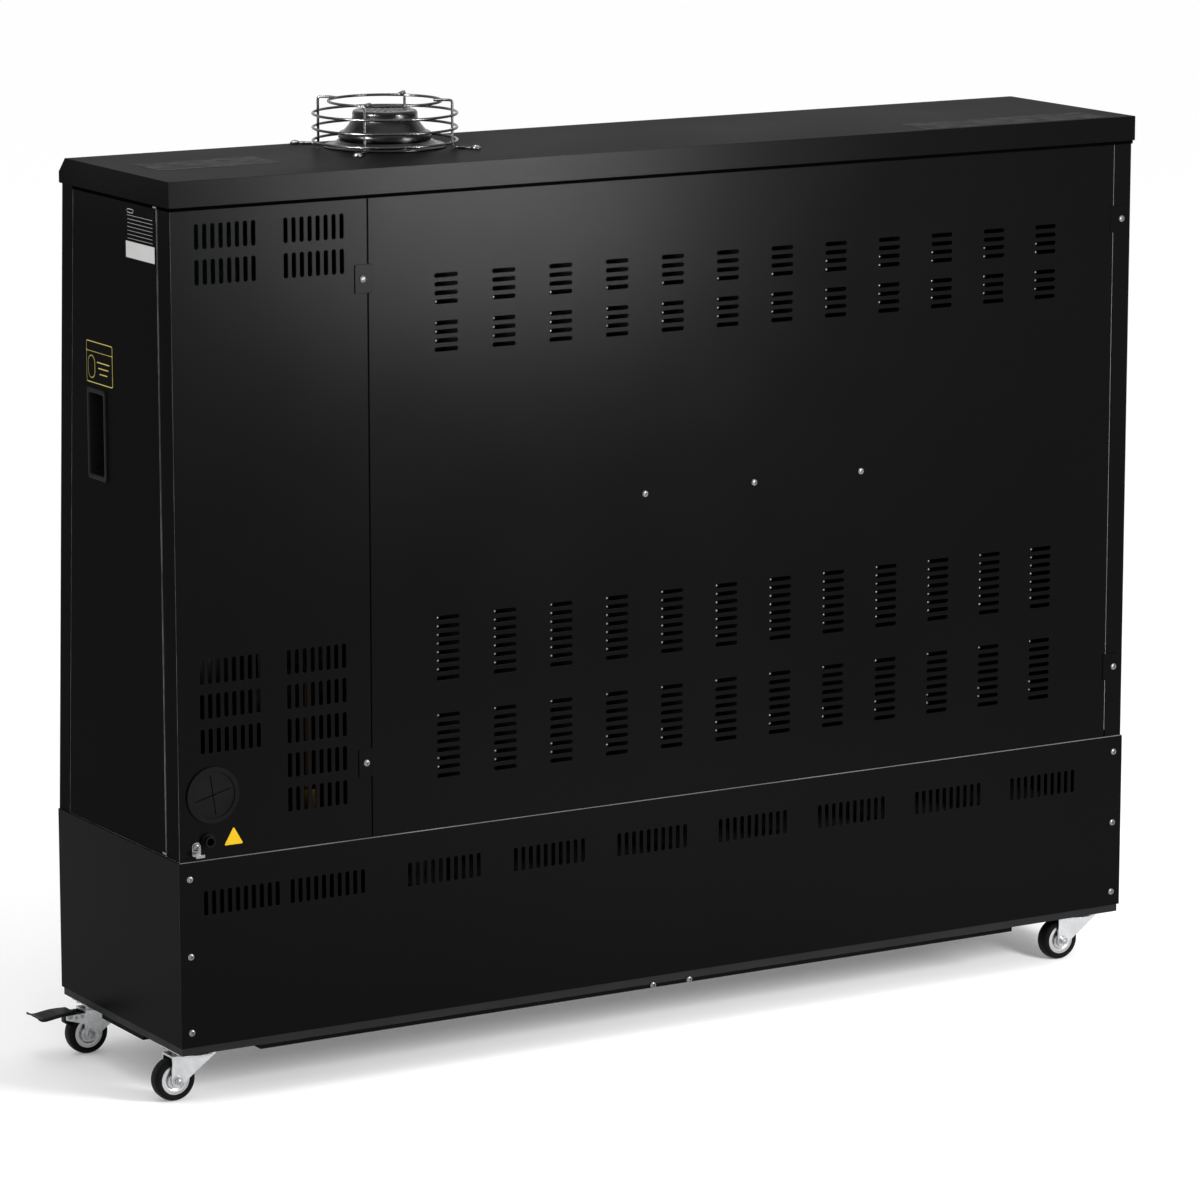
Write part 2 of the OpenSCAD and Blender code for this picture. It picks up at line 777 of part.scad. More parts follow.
module pipe_bend(x, z, r, turn, angle) {
    translate([x, tube_y, z]) rotate([90, 0, 0]) rotate(turn) rotate_extrude(angle = angle, $fn = fn_big)
        translate([r, 0]) difference() {
            circle(r = tube_r, $fn = fn_mid);
            circle(r = tube_r - tube_wall, $fn = fn_mid);
        }
}

// The radiant tube is welded up from straight pipes and bends that meet end to end
module radiant_tube() {
    g = weld_gap;
    riser_z = pass_z[3] + flue_elbow_r;
    color("#77706a") at_cabinet() {
        pipe_x(bend_left + g, bend_left + burn_wall + 8, pass_z[0]);
        pipe_bend(bend_left, (pass_z[0] + pass_z[1]) / 2, bend_r, 90, 180);
        pipe_x(bend_left + g, bend_right - g, pass_z[1]);
        pipe_bend(bend_right, (pass_z[1] + pass_z[2]) / 2, bend_r, -90, 180);
        pipe_x(bend_left + g, bend_right - g, pass_z[2]);
        pipe_bend(bend_left, (pass_z[2] + pass_z[3]) / 2, bend_r, 90, 180);
        pipe_x(bend_left + g, flue_x - flue_elbow_r - g, pass_z[3]);
        pipe_bend(flue_x - flue_elbow_r, riser_z, flue_elbow_r, -90, 90);
        difference() {
            rod_z(flue_x, tube_y, riser_z + g, top_z + 6, tube_r);
            rod_z(flue_x, tube_y, riser_z, top_z + 6 + cut, tube_r - tube_wall);
        }
    }
}

module tube_hangers() {
    color("#84868a") at_cabinet() for (x = hanger_xs)
        translate([x, 0, 0]) rotate([90, 0, 90]) linear_extrude(hanger_t) difference() {
            translate([tube_y + 8, mirror_low + 36])
                square([reflector_y - tube_y - 8 - fit_gap, mirror_high - mirror_low - 72]);
            translate([tube_y, pass_z[0]]) circle(r = burn_r + fit_gap, $fn = fn_big);
            for (i = [1:3]) translate([tube_y, pass_z[i]]) circle(r = tube_r + fit_gap, $fn = fn_big);
        }
}

// Flue

module at_flue() {
    at_cabinet() translate([flue_x, tube_y, top_z]) children();
}

dish_h = 8;
head_h = 33.2;

module flue_dish() {
    color("#d0d2d5") at_flue() rotate_extrude($fn = fn_big) polygon([
        [tube_r + fit_gap, 0], [dish_r, 0], [dish_r, 1.6], [drum_r + 6, 4.6],
        [drum_r + 1.5, dish_h], [tube_r + fit_gap, dish_h]
    ]);
}

// Outline of the flue's head, drawn in by t
function head_outline(t) = [
    [drum_r - t, 0], [drum_r + 0.5 - t, 2], [drum_r + 0.5 - t, 6.5], [drum_r - 1.5 - t, 8.5 - t * 0.6],
    [drum_r - 5 - t, 9.5 - t * 0.6], [cap_r + 6 - t, 14 - t * 0.4], [cap_r + 2 - t, 20], [cap_r - t, 24],
    [cap_r - t, head_h - 3.2 - t * 0.5], [cap_r - 2.5 - t, head_h - 0.6 - t], [0, head_h - t]
];

module flue_cap() {
    wall = 1.2;
    slots = 9;
    color("#d0d2d5") at_flue() translate([0, 0, dish_h]) difference() {
        rotate_extrude($fn = fn_big) polygon(concat([[0, 0]], head_outline(0)));
        translate([0, 0, -0.01]) rotate_extrude($fn = fn_big) polygon(concat([[0, 0]], head_outline(wall)));
        for (i = [0:slots - 1]) {
            x = (i - (slots - 1) / 2) * 6;
            reach = sqrt(pow(cap_r - 7, 2) - x * x);
            span([x - 1.5, -reach, 26], [x + 1.5, reach, 40]);
        }
    }
}

cage_wire_in = cage_r - 2 * cage_wire_r - weld_gap;
cage_rings = [7, 21.5, 37];

module cage_wire() {
    top = cage_h - cage_wire_r;
    foot = cage_wire_r;
    rod_z(cage_wire_in, 0, foot, top, cage_wire_r, fn_small);
    translate([cage_wire_in, 0, top]) sphere(r = cage_wire_r, $fn = fn_small);
    translate([cage_wire_in, 0, foot]) sphere(r = cage_wire_r, $fn = fn_small);
    rod_x(cage_top_r - 6, cage_wire_in, 0, top, cage_wire_r, fn_small);
    rod_x(cage_wire_in, cage_foot_r - 4, 0, foot, cage_wire_r, fn_small);
    difference() {
        rod_z(cage_foot_r, 0, 0, 2, 5.5, fn_mid);
        rod_z(cage_foot_r, 0, -cut, 2 + cut, screw_hole_r, fn_small);
    }
}

module flue_cage() {
    color("#c4c6c9") at_flue() {
        for (z = cage_rings)
            translate([0, 0, z]) rotate_extrude($fn = fn_big) translate([cage_r, 0]) circle(r = cage_wire_r, $fn = fn_small);
        translate([0, 0, cage_h - 3 * cage_wire_r - weld_gap])
            rotate_extrude($fn = fn_big) translate([cage_top_r, 0]) circle(r = cage_wire_r, $fn = fn_small);
        for (a = cage_angles) rotate(a) cage_wire();
    }
}

// Controls

module control_fascia() {
    box_w = fascia_w - 12 - 2 * fit_gap;
    box_h = fascia_h - 12 - 2 * fit_gap;
    wall = 2;
    color("#101113") at_front() translate([fascia_x, 0, fascia_z]) difference() {
        union() {
            span([-fascia_w / 2, -fascia_t, -fascia_h / 2], [fascia_w / 2, 0, fascia_h / 2]);
            difference() {
                span([-box_w / 2, -0.01, -box_h / 2], [box_w / 2, board_y + 6, box_h / 2]);
                span([-box_w / 2 + wall, 0, -box_h / 2 + wall], [box_w / 2 - wall, board_y + 7, box_h / 2 - wall]);
            }
            // Posts that carry the control board
            for (sx = [-1, 1], sz = [-1, 1]) rod_y(sx * (box_w / 2 - 14), -0.01, board_y - fit_gap, sz * (box_h / 2 - 14), 4);
        }
        span([-display_w / 2 + 4, -fascia_t - cut, display_up - display_h / 2 + 4],
             [display_w / 2 - 4, cut, display_up + display_h / 2 - 4]);
        span([-display_w / 2 - fit_gap, -fascia_t - cut, display_up - display_h / 2 - fit_gap],
             [display_w / 2 + fit_gap, -fascia_t + display_seat, display_up + display_h / 2 + fit_gap]);
        for (p = button_spots) rod_y(p[0], -fascia_t - cut, cut, p[1], button_r + fit_gap);
    }
}

module display_window() {
    color("#0a0c10") at_front() translate([fascia_x, 0, fascia_z])
        span([-display_w / 2, -fascia_t + display_sink, display_up - display_h / 2],
             [display_w / 2, -fascia_t + display_seat, display_up + display_h / 2]);
}

module control_board() {
    margin = 15;
    w = fascia_w - 2 * margin;
    h = fascia_h - 2 * margin;
    color("#1f5a35") at_front() translate([fascia_x, 0, fascia_z]) {
        span([-w / 2, board_y, -h / 2], [w / 2, board_y + 1.6, h / 2]);
        // Display module, switches under the buttons, a relay and two capacitors
        span([-display_w / 2 + 6, 3, display_up - display_h / 2 + 6], [display_w / 2 - 6, board_y, display_up + display_h / 2 - 6]);
        for (p = button_spots) span([p[0] - 3, board_y - 4, p[1] - 3], [p[0] + 3, board_y, p[1] + 3]);
        span([-60, board_y + 1.6, -60], [-30, board_y + 18, -35]);
        rod_y(10, board_y + 1.6, board_y + 22, -50, 8, fn_small);
        rod_y(34, board_y + 1.6, board_y + 22, -50, 8, fn_small);
    }
}

// Button i: a round cap, a collar behind the fascia that keeps it in, and a stem that works the switch
module button(i) {
    p = button_spots[i];
    at_front() translate([fascia_x + p[0], 0, fascia_z + p[1]]) {
        rod_y(0, -fascia_t - 2.5, 2, 0, button_r);
        rod_y(0, fit_gap, 2, 0, button_r + 1.8);
        rod_y(0, 2, board_y - 4 - button_travel - fit_gap, 0, 2.5, fn_small);
    }
}

module button_power() {
    color("#8e1b1b") button(0);
}

module button_down() {
    color("#c8cacc") button(1);
}

module button_up() {
    color("#c8cacc") button(2);
}

module button_timer() {
    color("#c8cacc") button(3);
}

// Burner

module burner_housing() {
    wall = 2;
    color("#2b2d30") at_cabinet() difference() {
        rod_x(blower_x, blower_x + blower_w, tube_y, burn_axis_z, blower_r, fn_big);
        rod_x(blower_x + wall, blower_x + blower_w - wall, tube_y, burn_axis_z, blower_r - wall, fn_big);
        rod_x(blower_x - cut, blower_x + wall + cut, tube_y, burn_axis_z, blast_r - 2);
        rod_x(blower_x + blower_w - wall - cut, blower_x + blower_w + cut, tube_y, burn_axis_z, shaft_r + 4);
        // Air inlets round the motor
        for (a = [0:60:300]) translate([0, tube_y, burn_axis_z]) rotate([a, 0, 0])
            rod_x(blower_x + blower_w - wall - cut, blower_x + blower_w + cut, blower_r - 19, 0, 9, fn_small);
    }
}

module burner_motor() {
    color("#3a3d42") at_cabinet() difference() {
        union() {
            rod_x(motor_x, motor_x + 4, tube_y, burn_axis_z, motor_r + 2, fn_big);
            rod_x(motor_x + 4, motor_x + motor_l, tube_y, burn_axis_z, motor_r - 4, fn_big);
            rod_x(motor_x + motor_l, motor_x + motor_l + 6, tube_y, burn_axis_z, 14);
        }
        rod_x(motor_x - cut, motor_x + motor_l - 10, tube_y, burn_axis_z, shaft_r + run_gap);
    }
}

module burner_fan() {
    x0 = blower_x + 14;
    color("#7d8288") at_cabinet() {
        rod_x(x0, x0 + 3, tube_y, burn_axis_z, fan_r, fn_big);
        difference() {
            rod_x(x0 + fan_l - 2, x0 + fan_l, tube_y, burn_axis_z, fan_r, fn_big);
            rod_x(x0 + fan_l - 3, x0 + fan_l + cut, tube_y, burn_axis_z, fan_r - 20, fn_big);
        }
        for (i = [0:fan_blades - 1]) translate([0, tube_y, burn_axis_z]) rotate([i * 360 / fan_blades, 0, 0])
            span([x0 + 2, fan_r - 18, -0.6], [x0 + fan_l - 1, fan_r - 1.5, 0.6]);
        rod_x(x0 + 2, x0 + fan_l + 2, tube_y, burn_axis_z, 14);
        rod_x(x0 + fan_l, motor_x + motor_l - 14, tube_y, burn_axis_z, shaft_r);
    }
}

module blast_tube() {
    wall = 2;
    color("#a9abae") at_cabinet() difference() {
        union() {
            rod_x(partition_x - 50, blower_x - fit_gap, tube_y, burn_axis_z, blast_r, fn_big);
            rod_x(partition_x + skin_t + fit_gap, partition_x + skin_t + fit_gap + flange_t,
                  tube_y, burn_axis_z, blast_r + 22, fn_big);
        }
        rod_x(partition_x - 50 - cut, blower_x, tube_y, burn_axis_z, blast_r - wall, fn_big);
    }
}

module ignition_transformer() {
    w = 62;
    d = 70;
    h = 90;
    post_h = 14;
    x0 = partition_x + skin_t + fit_gap;
    z0 = burn_axis_z + blower_r + post_h + 11;
    color("#33363b") at_cabinet() {
        span([x0, tube_y - d / 2, z0], [x0 + w, tube_y + d / 2, z0 + h]);
        // Ceramic posts of the two ignition leads
        for (s = [-1, 1]) rod_z(x0 + w / 2, tube_y + s * d / 5, z0 - post_h, z0, 5, fn_small);
    }
}

module fuel_pump() {
    color("#b08d3c") at_cabinet() {
        span([pump_x - 24, pump_y - 20, deck_z + fit_gap], [pump_x + 24, pump_y + 20, deck_z + 26]);
        rod_z(pump_x, pump_y, deck_z + 25, deck_z + pump_h - 8, 16);
        rod_z(pump_x, pump_y, deck_z + pump_h - 9, deck_z + pump_h, 6, fn_small);
    }
}

module tilt_switch() {
    color("#1c3a66") at_cabinet()
        span([fascia_x - 20, base_front + 40, deck_z + fit_gap], [fascia_x + 20, base_front + 70, deck_z + 26]);
}

// Fuel system

module fuel_tank() {
    color("#26282b") at_cabinet() difference() {
        span([tank_left, -tank_d / 2, tank_z], [tank_right, tank_d / 2, tank_top]);
        span([tank_left + tank_t, -tank_d / 2 + tank_t, tank_z + tank_t],
             [tank_right - tank_t, tank_d / 2 - tank_t, tank_top - tank_t]);
        span([filler_x - well_half - fit_gap, well_y - well_half - fit_gap, tank_top - 4],
             [filler_x + well_half + fit_gap, well_y + well_half + fit_gap, tank_top + cut]);
        rod_z(sender_x, 0, tank_top - 4, tank_top + cut, 24);
        rod_z(pickup_x, pump_y, tank_top - 4, tank_top + cut, line_r + fit_gap);
    }
}

// A sheet metal well that stands in the tank's top, and the neck that leads into it from the base's front
module filler_neck() {
    flange_w = 8;
    flange_t = 1.5;
    below = 5;
    t = neck_wall;
    bore_r = neck_r - neck_wall;
    left = filler_x - well_half;
    right = filler_x + well_half;
    front = well_y - well_half;
    back = well_y + well_half;
    foot = tank_top - below;
    under_top = well_top - t - weld_gap;
    color("#3c3e41") at_cabinet() {
        // Side, back and top sheets of the well, welded edge to edge
        for (x = [left, right - t]) span([x, front, foot], [x + t, back, under_top]);
        span([left + t + weld_gap, back - t, foot], [right - t - weld_gap, back, under_top]);
        span([left, front, well_top - t], [right, back, well_top]);
        // Strips that weld it to the tank's top
        for (x = [left - flange_w, right + weld_gap])
            span([x, front, tank_top + fit_gap], [x + flange_w - weld_gap, back, tank_top + fit_gap + flange_t]);
        // Front sheet, with the neck's opening
        difference() {
            span([left + t + weld_gap, front, foot], [right - t - weld_gap, front + t, under_top]);
            rod_y(filler_x, front - cut, front + t + cut, neck_z, bore_r, fn_big);
        }
        difference() {
            union() {
                rod_y(filler_x, neck_end, front - weld_gap, neck_z, neck_r, fn_big);
                rod_y(filler_x, base_front - flange_t, base_front, neck_z, neck_r + flange_w, fn_big);
            }
            rod_y(filler_x, neck_end - cut, front + cut, neck_z, bore_r, fn_big);
        }
    }
}

module cap_gasket() {
    color("#202020") at_cabinet() difference() {
        rod_y(filler_x, neck_end - gasket_t, neck_end, neck_z, neck_r + 2);
        rod_y(filler_x, neck_end - gasket_t - cut, neck_end + cut, neck_z, neck_r - 5);
    }
}

// Cap that closes on the end of the neck, with a bar across it to turn it by
module fuel_cap() {
    grip_w = 10;
    grip_h = 6;
    face = base_front - cap_reach;
    seat = neck_end - gasket_t - fit_gap;
    color("#0e0e0f") at_cabinet() {
        difference() {
            rod_y(filler_x, face + grip_h, seat, neck_z, fuel_cap_r, fn_big);
            // Flutes for the fingers
            for (a = [0:30:330]) translate([filler_x, 0, neck_z]) rotate([0, a, 0])
                rod_y(fuel_cap_r + 1, face, seat + cut, 0, 3.2, fn_small);
        }
        span([filler_x - fuel_cap_r + 4, face, neck_z - grip_w / 2],
             [filler_x + fuel_cap_r - 4, face + grip_h + 1, neck_z + grip_w / 2]);
    }
}

module level_sender() {
    color("#8a8d90") at_cabinet() difference() {
        union() {
            rod_z(sender_x, 0, tank_top + fit_gap, tank_top + 3, 30);
            rod_z(sender_x, 0, float_pivot_z + 12, tank_top + 1, 6, fn_small);
            for (s = [-1, 1]) span([sender_x - 5, s * 5 - 1.5, float_pivot_z - 5], [sender_x + 5, s * 5 + 1.5, float_pivot_z + 14]);
        }
        rod_y(sender_x, -10, 10, float_pivot_z, 2 + run_gap, fn_small);
    }
}

// Arm and float, resting on the arm's lower stop in an empty tank
module float_arm() {
    color("#b5a46a") at_cabinet() translate([sender_x, 0, float_pivot_z]) {
        rod_y(0, -8, 8, 0, 2, fn_small);
        rotate([0, -float_rest, 0]) {
            rod_x(-float_arm_l, 0, 0, 0, 1.5, fn_small);
            rod_y(0, -2.5, 2.5, 0, 4.5, fn_small);
            rod_y(-float_arm_l, -16, 16, 0, float_r);
        }
    }
}

module fuel_line() {
    color("#a5683a") at_cabinet() {
        // Suction line from the tank through the deck to the pump
        rod_z(pickup_x, pump_y, tank_z + pickup_lift, line_z - line_bend, line_r, fn_small);
        translate([pickup_x + line_bend, pump_y, line_z - line_bend]) rotate([90, 0, 0]) rotate(90)
            rotate_extrude(angle = 90, $fn = fn_mid) translate([line_bend, 0]) circle(r = line_r, $fn = fn_small);
        rod_x(pickup_x + line_bend, pump_x - line_bend, pump_y, line_z, line_r, fn_small);
        translate([pump_x - line_bend, pump_y, line_z + line_bend]) rotate([90, 0, 0]) rotate(-90)
            rotate_extrude(angle = 90, $fn = fn_mid) translate([line_bend, 0]) circle(r = line_r, $fn = fn_small);
        rod_z(pump_x, pump_y, line_z + line_bend, deck_z, line_r, fn_small);
        // Pressure line from the pump to the burner
        rod_z(pump_x, pump_y, deck_z + pump_h + fit_gap, burn_axis_z - line_bend, line_r, fn_small);
        translate([pump_x, pump_y - line_bend, burn_axis_z - line_bend]) rotate([90, 0, 90])
            rotate_extrude(angle = 90, $fn = fn_mid) translate([line_bend, 0]) circle(r = line_r, $fn = fn_small);
        rod_y(pump_x, tube_y + blower_r + fit_gap, pump_y - line_bend, burn_axis_z, line_r, fn_small);
    }
}

// Small pieces on the rear face

module membrane_grommet() {
    slit = 1;
    reach = membrane_r - 7;
    color("#0b0b0c") at_cabinet() translate([membrane_at[0], body_back, membrane_at[1]]) difference() {
        union() {
            rod_y(0, 0, 2.4, 0, membrane_r + 2, fn_big);
            rod_y(0, -4, 0, 0, membrane_r - fit_gap, fn_big);
        }
        rod_y(0, 1.2, 2.4 + cut, 0, membrane_r - 3, fn_big);
        rod_y(0, -4 - cut, 0, 0, membrane_r - 3, fn_big);
        for (a = [15, 98]) rotate([0, a, 0]) span([-reach, -cut, -slit / 2], [reach, 3, slit / 2]);
    }
}

module cord_clamp() {
    w = 10.4;
    t = 1.2;
    color("#d4d6d8") at_cabinet() translate([clamp_at[0], body_back, clamp_at[1]]) difference() {
        union() {
            span([-w / 2, 0, -6], [w / 2, t, 4]);
            rod_y(0, 0, t, 4, w / 2);
            span([-w / 2, 0, -6], [w / 2, clamp_reach, -6 + t]);
            span([-w / 2, clamp_reach - t, -6], [w / 2, clamp_reach, -2.5]);
        }
        rod_y(0, -cut, t + cut, 4, screw_hole_r, fn_small);
    }
}

module cord_bushing() {
    color("#0b0b0c") at_cabinet() translate([bushing_at[0], body_back, bushing_at[1]]) difference() {
        union() {
            rod_y(0, 0, 3, 0, cord_bore_r + 4);
            rod_y(0, 3, 8, 0, cord_bore_r + 2);
            rod_y(0, -7, 0, 0, cord_bore_r + 2);
        }
        rod_y(0, -7 - cut, 8 + cut, 0, cord_bore_r);
    }
}

// Bolt and nut that hold a caster plate to the tray
module caster_bolt() {
    rod_z(0, 0, tray_z - plate_t - bolt_head_h, tray_z - plate_t, bolt_head_r, 6);
    rod_z(0, 0, tray_z - plate_t, tray_z + base_t + 6, bolt_r, fn_small);
    rod_z(0, 0, tray_z + base_t, tray_z + base_t + 5, bolt_head_r, 6);
}

module panel_screws() {
    color("#d4d6d8") at_cabinet() {
        at_casters([-1, 1], [-1, 1]) at_plate_bolts() caster_bolt();
        for (p = base_screws) translate([p[0], base_back, p[1]]) screw();
        for (p = mid_screws) translate([p[0], body_back, p[1]]) screw();
        for (p = concat(tab_screws_right, tab_screws_left)) translate([p[0], body_back + skin_t, p[1]]) screw();
        for (p = pan_screws) translate([p[0], tray_half_d, p[1]]) screw();
        translate([clamp_at[0], body_back + 1.2, clamp_at[1] + 4]) screw();
        for (a = cage_angles) translate([flue_x, tube_y, top_z + 2]) rotate(a)
            translate([cage_foot_r, 0, 0]) rotate([90, 0, 0]) screw();
    }
}

// Casters, drawn about the swivel axis with the wheel trailing towards +X

leg_gap = 1.5;
leg_t = 2;
fork_in = wheel_w / 2 + leg_gap;
fork_out = fork_in + leg_t;
fork_top = caster_h - 7.3;
plate_t = 2.5;
wheel_z = wheel_d / 2;

module caster_plates() {
    color("#c9cbcd") at_cabinet() at_casters([-1, 1], [-1, 1]) difference() {
        union() {
            span([-plate_l / 2, -plate_w / 2, caster_h - plate_t], [plate_l / 2, plate_w / 2, caster_h]);
            rod_z(0, 0, fork_top + fit_gap, caster_h - plate_t + 0.01, 18);
            rod_z(0, 0, fork_top - 4, caster_h - plate_t, kingpin_r);
            rod_z(0, 0, fork_top - 4.7, fork_top - 2.2 - fit_gap, kingpin_r + 3);
        }
        plate_holes();
    }
}

// One fork leg seen from the side: upright behind the wheel's axle, slanting to the far edge of the swivel head
module leg_outline() {
    boss = 7;
    polygon([
        [caster_trail + boss - 1, fork_top], [-22, fork_top], [-21, fork_top - 3],
        [caster_trail - 5.4, wheel_z - 4.5], [caster_trail + boss, wheel_z]
    ]);
    translate([caster_trail, wheel_z]) circle(r = boss, $fn = fn_mid);
}

// Arm that carries the brake pedal's pin
module brake_arm_outline() {
    polygon([
        [caster_trail, fork_top - 3], [pedal_pin_x + 4, fork_top - 3],
        [pedal_pin_x + 4, pedal_pin_z - 4], [caster_trail + 5, wheel_z + 12]
    ]);
}

module fork(braked) {
    head_t = 2.2;
    difference() {
        union() {
            rod_z(0, 0, fork_top - head_t, fork_top, 22, fn_big);
            span([0, -fork_out, fork_top - head_t], [caster_trail + 6, fork_out, fork_top]);
            for (y = [-fork_out, fork_in]) translate([0, y + leg_t, 0]) rotate([90, 0, 0]) linear_extrude(leg_t) {
                leg_outline();
                if (braked) brake_arm_outline();
            }
        }
        rod_z(0, 0, fork_top - head_t - cut, fork_top + cut, kingpin_r + run_gap);
    }
    rod_y(caster_trail, -fork_out, fork_out, wheel_z, axle_r);
    for (s = [-1, 1]) rod_y(caster_trail, s * (fork_out + 0.7) - 0.8, s * (fork_out + 0.7) + 0.8, wheel_z, axle_r + 2.5);
    if (braked) rod_y(pedal_pin_x, -fork_out, fork_out, pedal_pin_z, 2.5, fn_small);
}

module wheel() {
    r = wheel_d / 2;
    hub = 15.5;
    w = wheel_w / 2;
    translate([caster_trail, 0, wheel_z]) rotate([90, 0, 0]) rotate_extrude($fn = fn_big) polygon([
        [axle_r + run_gap, -w], [7.5, -w], [7.5, -w + 3], [hub - 2.5, -w + 3], [hub - 1.5, -w + 1],
        [hub, -w + 1], [r - 5, -w + 1], [r - 2, -w + 2.6], [r - 0.4, -w + 5.4], [r, -w + 7.5],
        [r, w - 7.5], [r - 0.4, w - 5.4], [r - 2, w - 2.6], [r - 5, w - 1], [hub, w - 1],
        [hub - 1.5, w - 1], [hub - 2.5, w - 3], [7.5, w - 3], [7.5, w], [axle_r + run_gap, w]
    ]);
}

// The brake's shoe meets the tread when the pedal is right down
shoe_r = 3;
shoe_reach = 8.5;
pin_rise = pedal_pin_z - wheel_z;
pin_run = pedal_pin_x - caster_trail;
pin_away = norm([pin_run, pin_rise]);
shoe_stop = wheel_z + shoe_r + 0.1;
shoe_turn = acos((pow(pin_away, 2) + pow(shoe_reach, 2) - pow(shoe_stop, 2)) / (2 * pin_away * shoe_reach));
shoe_angle = 180 + atan(pin_rise / pin_run) + shoe_turn + brake_throw;

// Brake pedal: lever, hub on its pin and a shoe that swings onto the tread
module brake_pedal() {
    tip = pedal_reach;
    low = fork_top - 1.6;
    difference() {
        union() {
            translate([0, pedal_w / 2, 0]) rotate([90, 0, 0]) linear_extrude(pedal_w) polygon([
                [pedal_pin_x - 6, low], [pedal_pin_x + 12, low], [tip - 4, low - 3], [tip, low - 1],
                [tip, low + 1.4], [tip - 4, low], [pedal_pin_x + 12, low + 2.6], [pedal_pin_x - 6, low + 2.6]
            ]);
            rod_y(pedal_pin_x, -fork_in + fit_gap, fork_in - fit_gap, pedal_pin_z, 4.2);
            translate([pedal_pin_x, 0, pedal_pin_z]) rotate([0, -shoe_angle, 0]) {
                span([0, -7.5, -2], [shoe_reach, 7.5, 2]);
                rod_y(shoe_reach, -7.5, 7.5, 0, shoe_r);
            }
        }
        rod_y(pedal_pin_x, -fork_out, fork_out, pedal_pin_z, 2.5 + run_gap, fn_small);
    }
}

// Place of one caster: sx is 1 at the machine end, sy is 1 at the rear
module caster_at(sx, sy) {
    at_cabinet() translate([sx * caster_x, sy * caster_y, 0]) children();
}

module caster_fork_rear_right() {
    color("#c9cbcd") caster_at(1, 1) fork(false);
}

module caster_fork_rear_left() {
    color("#c9cbcd") caster_at(-1, 1) fork(false);
}

module caster_fork_front_right() {
    color("#c9cbcd") caster_at(1, -1) fork(true);
}

module caster_fork_front_left() {
    color("#c9cbcd") caster_at(-1, -1) fork(true);
}

module caster_wheel_rear_right() {
    color("#1a1a1b") caster_at(1, 1) wheel();
}

module caster_wheel_rear_left() {
    color("#1a1a1b") caster_at(-1, 1) wheel();
}

module caster_wheel_front_right() {
    color("#1a1a1b") caster_at(1, -1) wheel();
}

module caster_wheel_front_left() {
    color("#1a1a1b") caster_at(-1, -1) wheel();
}

module brake_pedal_right() {
    color("#111112") caster_at(1, -1) brake_pedal();
}

module brake_pedal_left() {
    color("#111112") caster_at(-1, -1) brake_pedal();
}

chassis_tray();
drip_pan();
base_shell();
base_rear_panel();
base_deck();
side_panel_right();
side_panel_left();
handle_right();
handle_left();
machine_rear_panel();
main_rear_panel();
rear_corner_post();
lid();
front_frame();
guard_grille();
reflector();
heat_shield();
partition_wall();
combustion_tube();
radiant_tube();
tube_hangers();
flue_dish();
flue_cap();
flue_cage();
control_fascia();
display_window();
control_board();
button_power();
button_up();
button_down();
button_timer();
burner_housing();
burner_motor();
burner_fan();
blast_tube();
ignition_transformer();
fuel_pump();
tilt_switch();
fuel_tank();
filler_neck();
cap_gasket();
fuel_cap();
level_sender();
float_arm();
fuel_line();
membrane_grommet();
cord_clamp();
cord_bushing();
panel_screws();
caster_plates();
caster_fork_rear_right();
caster_fork_rear_left();
caster_fork_front_right();
caster_fork_front_left();
caster_wheel_rear_right();
caster_wheel_rear_left();
caster_wheel_front_right();
caster_wheel_front_left();
brake_pedal_right();
brake_pedal_left();
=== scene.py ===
import json
import math

import bmesh
import bpy
from mathutils import Matrix, Vector


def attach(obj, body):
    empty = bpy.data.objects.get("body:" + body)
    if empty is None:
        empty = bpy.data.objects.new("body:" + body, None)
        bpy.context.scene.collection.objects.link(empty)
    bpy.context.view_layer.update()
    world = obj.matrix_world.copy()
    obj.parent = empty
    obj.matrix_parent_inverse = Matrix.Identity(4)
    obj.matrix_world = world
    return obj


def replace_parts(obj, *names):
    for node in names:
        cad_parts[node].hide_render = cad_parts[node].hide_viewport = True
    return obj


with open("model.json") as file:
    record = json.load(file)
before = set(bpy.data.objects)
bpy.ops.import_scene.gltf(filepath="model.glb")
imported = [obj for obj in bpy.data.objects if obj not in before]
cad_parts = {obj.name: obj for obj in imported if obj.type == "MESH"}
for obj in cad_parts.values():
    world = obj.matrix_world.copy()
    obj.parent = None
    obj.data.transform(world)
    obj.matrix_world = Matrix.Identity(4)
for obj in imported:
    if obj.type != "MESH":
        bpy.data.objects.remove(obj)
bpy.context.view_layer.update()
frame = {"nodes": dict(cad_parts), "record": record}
nodes = frame["nodes"]

# Sizes that the solids also have, in metres. CENTRE is the middle of the cabinet on the floor, and the
# other places are measured from it.
MM = 0.001
CENTRE = Vector((-27.65, 8.25, 0)) * MM
BASE_HALF = 620 * MM
BASE_BACK = 151 * MM
BASE_Z = 68 * MM
BASE_TOP = 273 * MM
BODY_HALF = 618.5 * MM
BODY_BACK = 149.5 * MM
LID_TOP = 1006 * MM
TAB_THICK = 1.2 * MM
CLAMP_THICK = 1.2 * MM
# Ends of the main rear panel, and their middle
SEAM_RIGHT = 384.4 * MM
SEAM_LEFT = -595 * MM
PANEL_MIDDLE = (SEAM_RIGHT + SEAM_LEFT) / 2
# Louvres of that panel
LOUVRE_LENGTH = 28.6 * MM
LOUVRE_HEIGHT = 4.8 * MM
LOUVRE_PITCH = 9.6 * MM
COLUMN_PITCH = 71.65 * MM
COLUMNS = 12
# Flue: its middle, and how far out the feet of its cage are
FLUE = Vector((269.9, -21, 1006)) * MM
CAGE_FOOT = 104 * MM
QUARTERS = (45, 135, 225, 315)
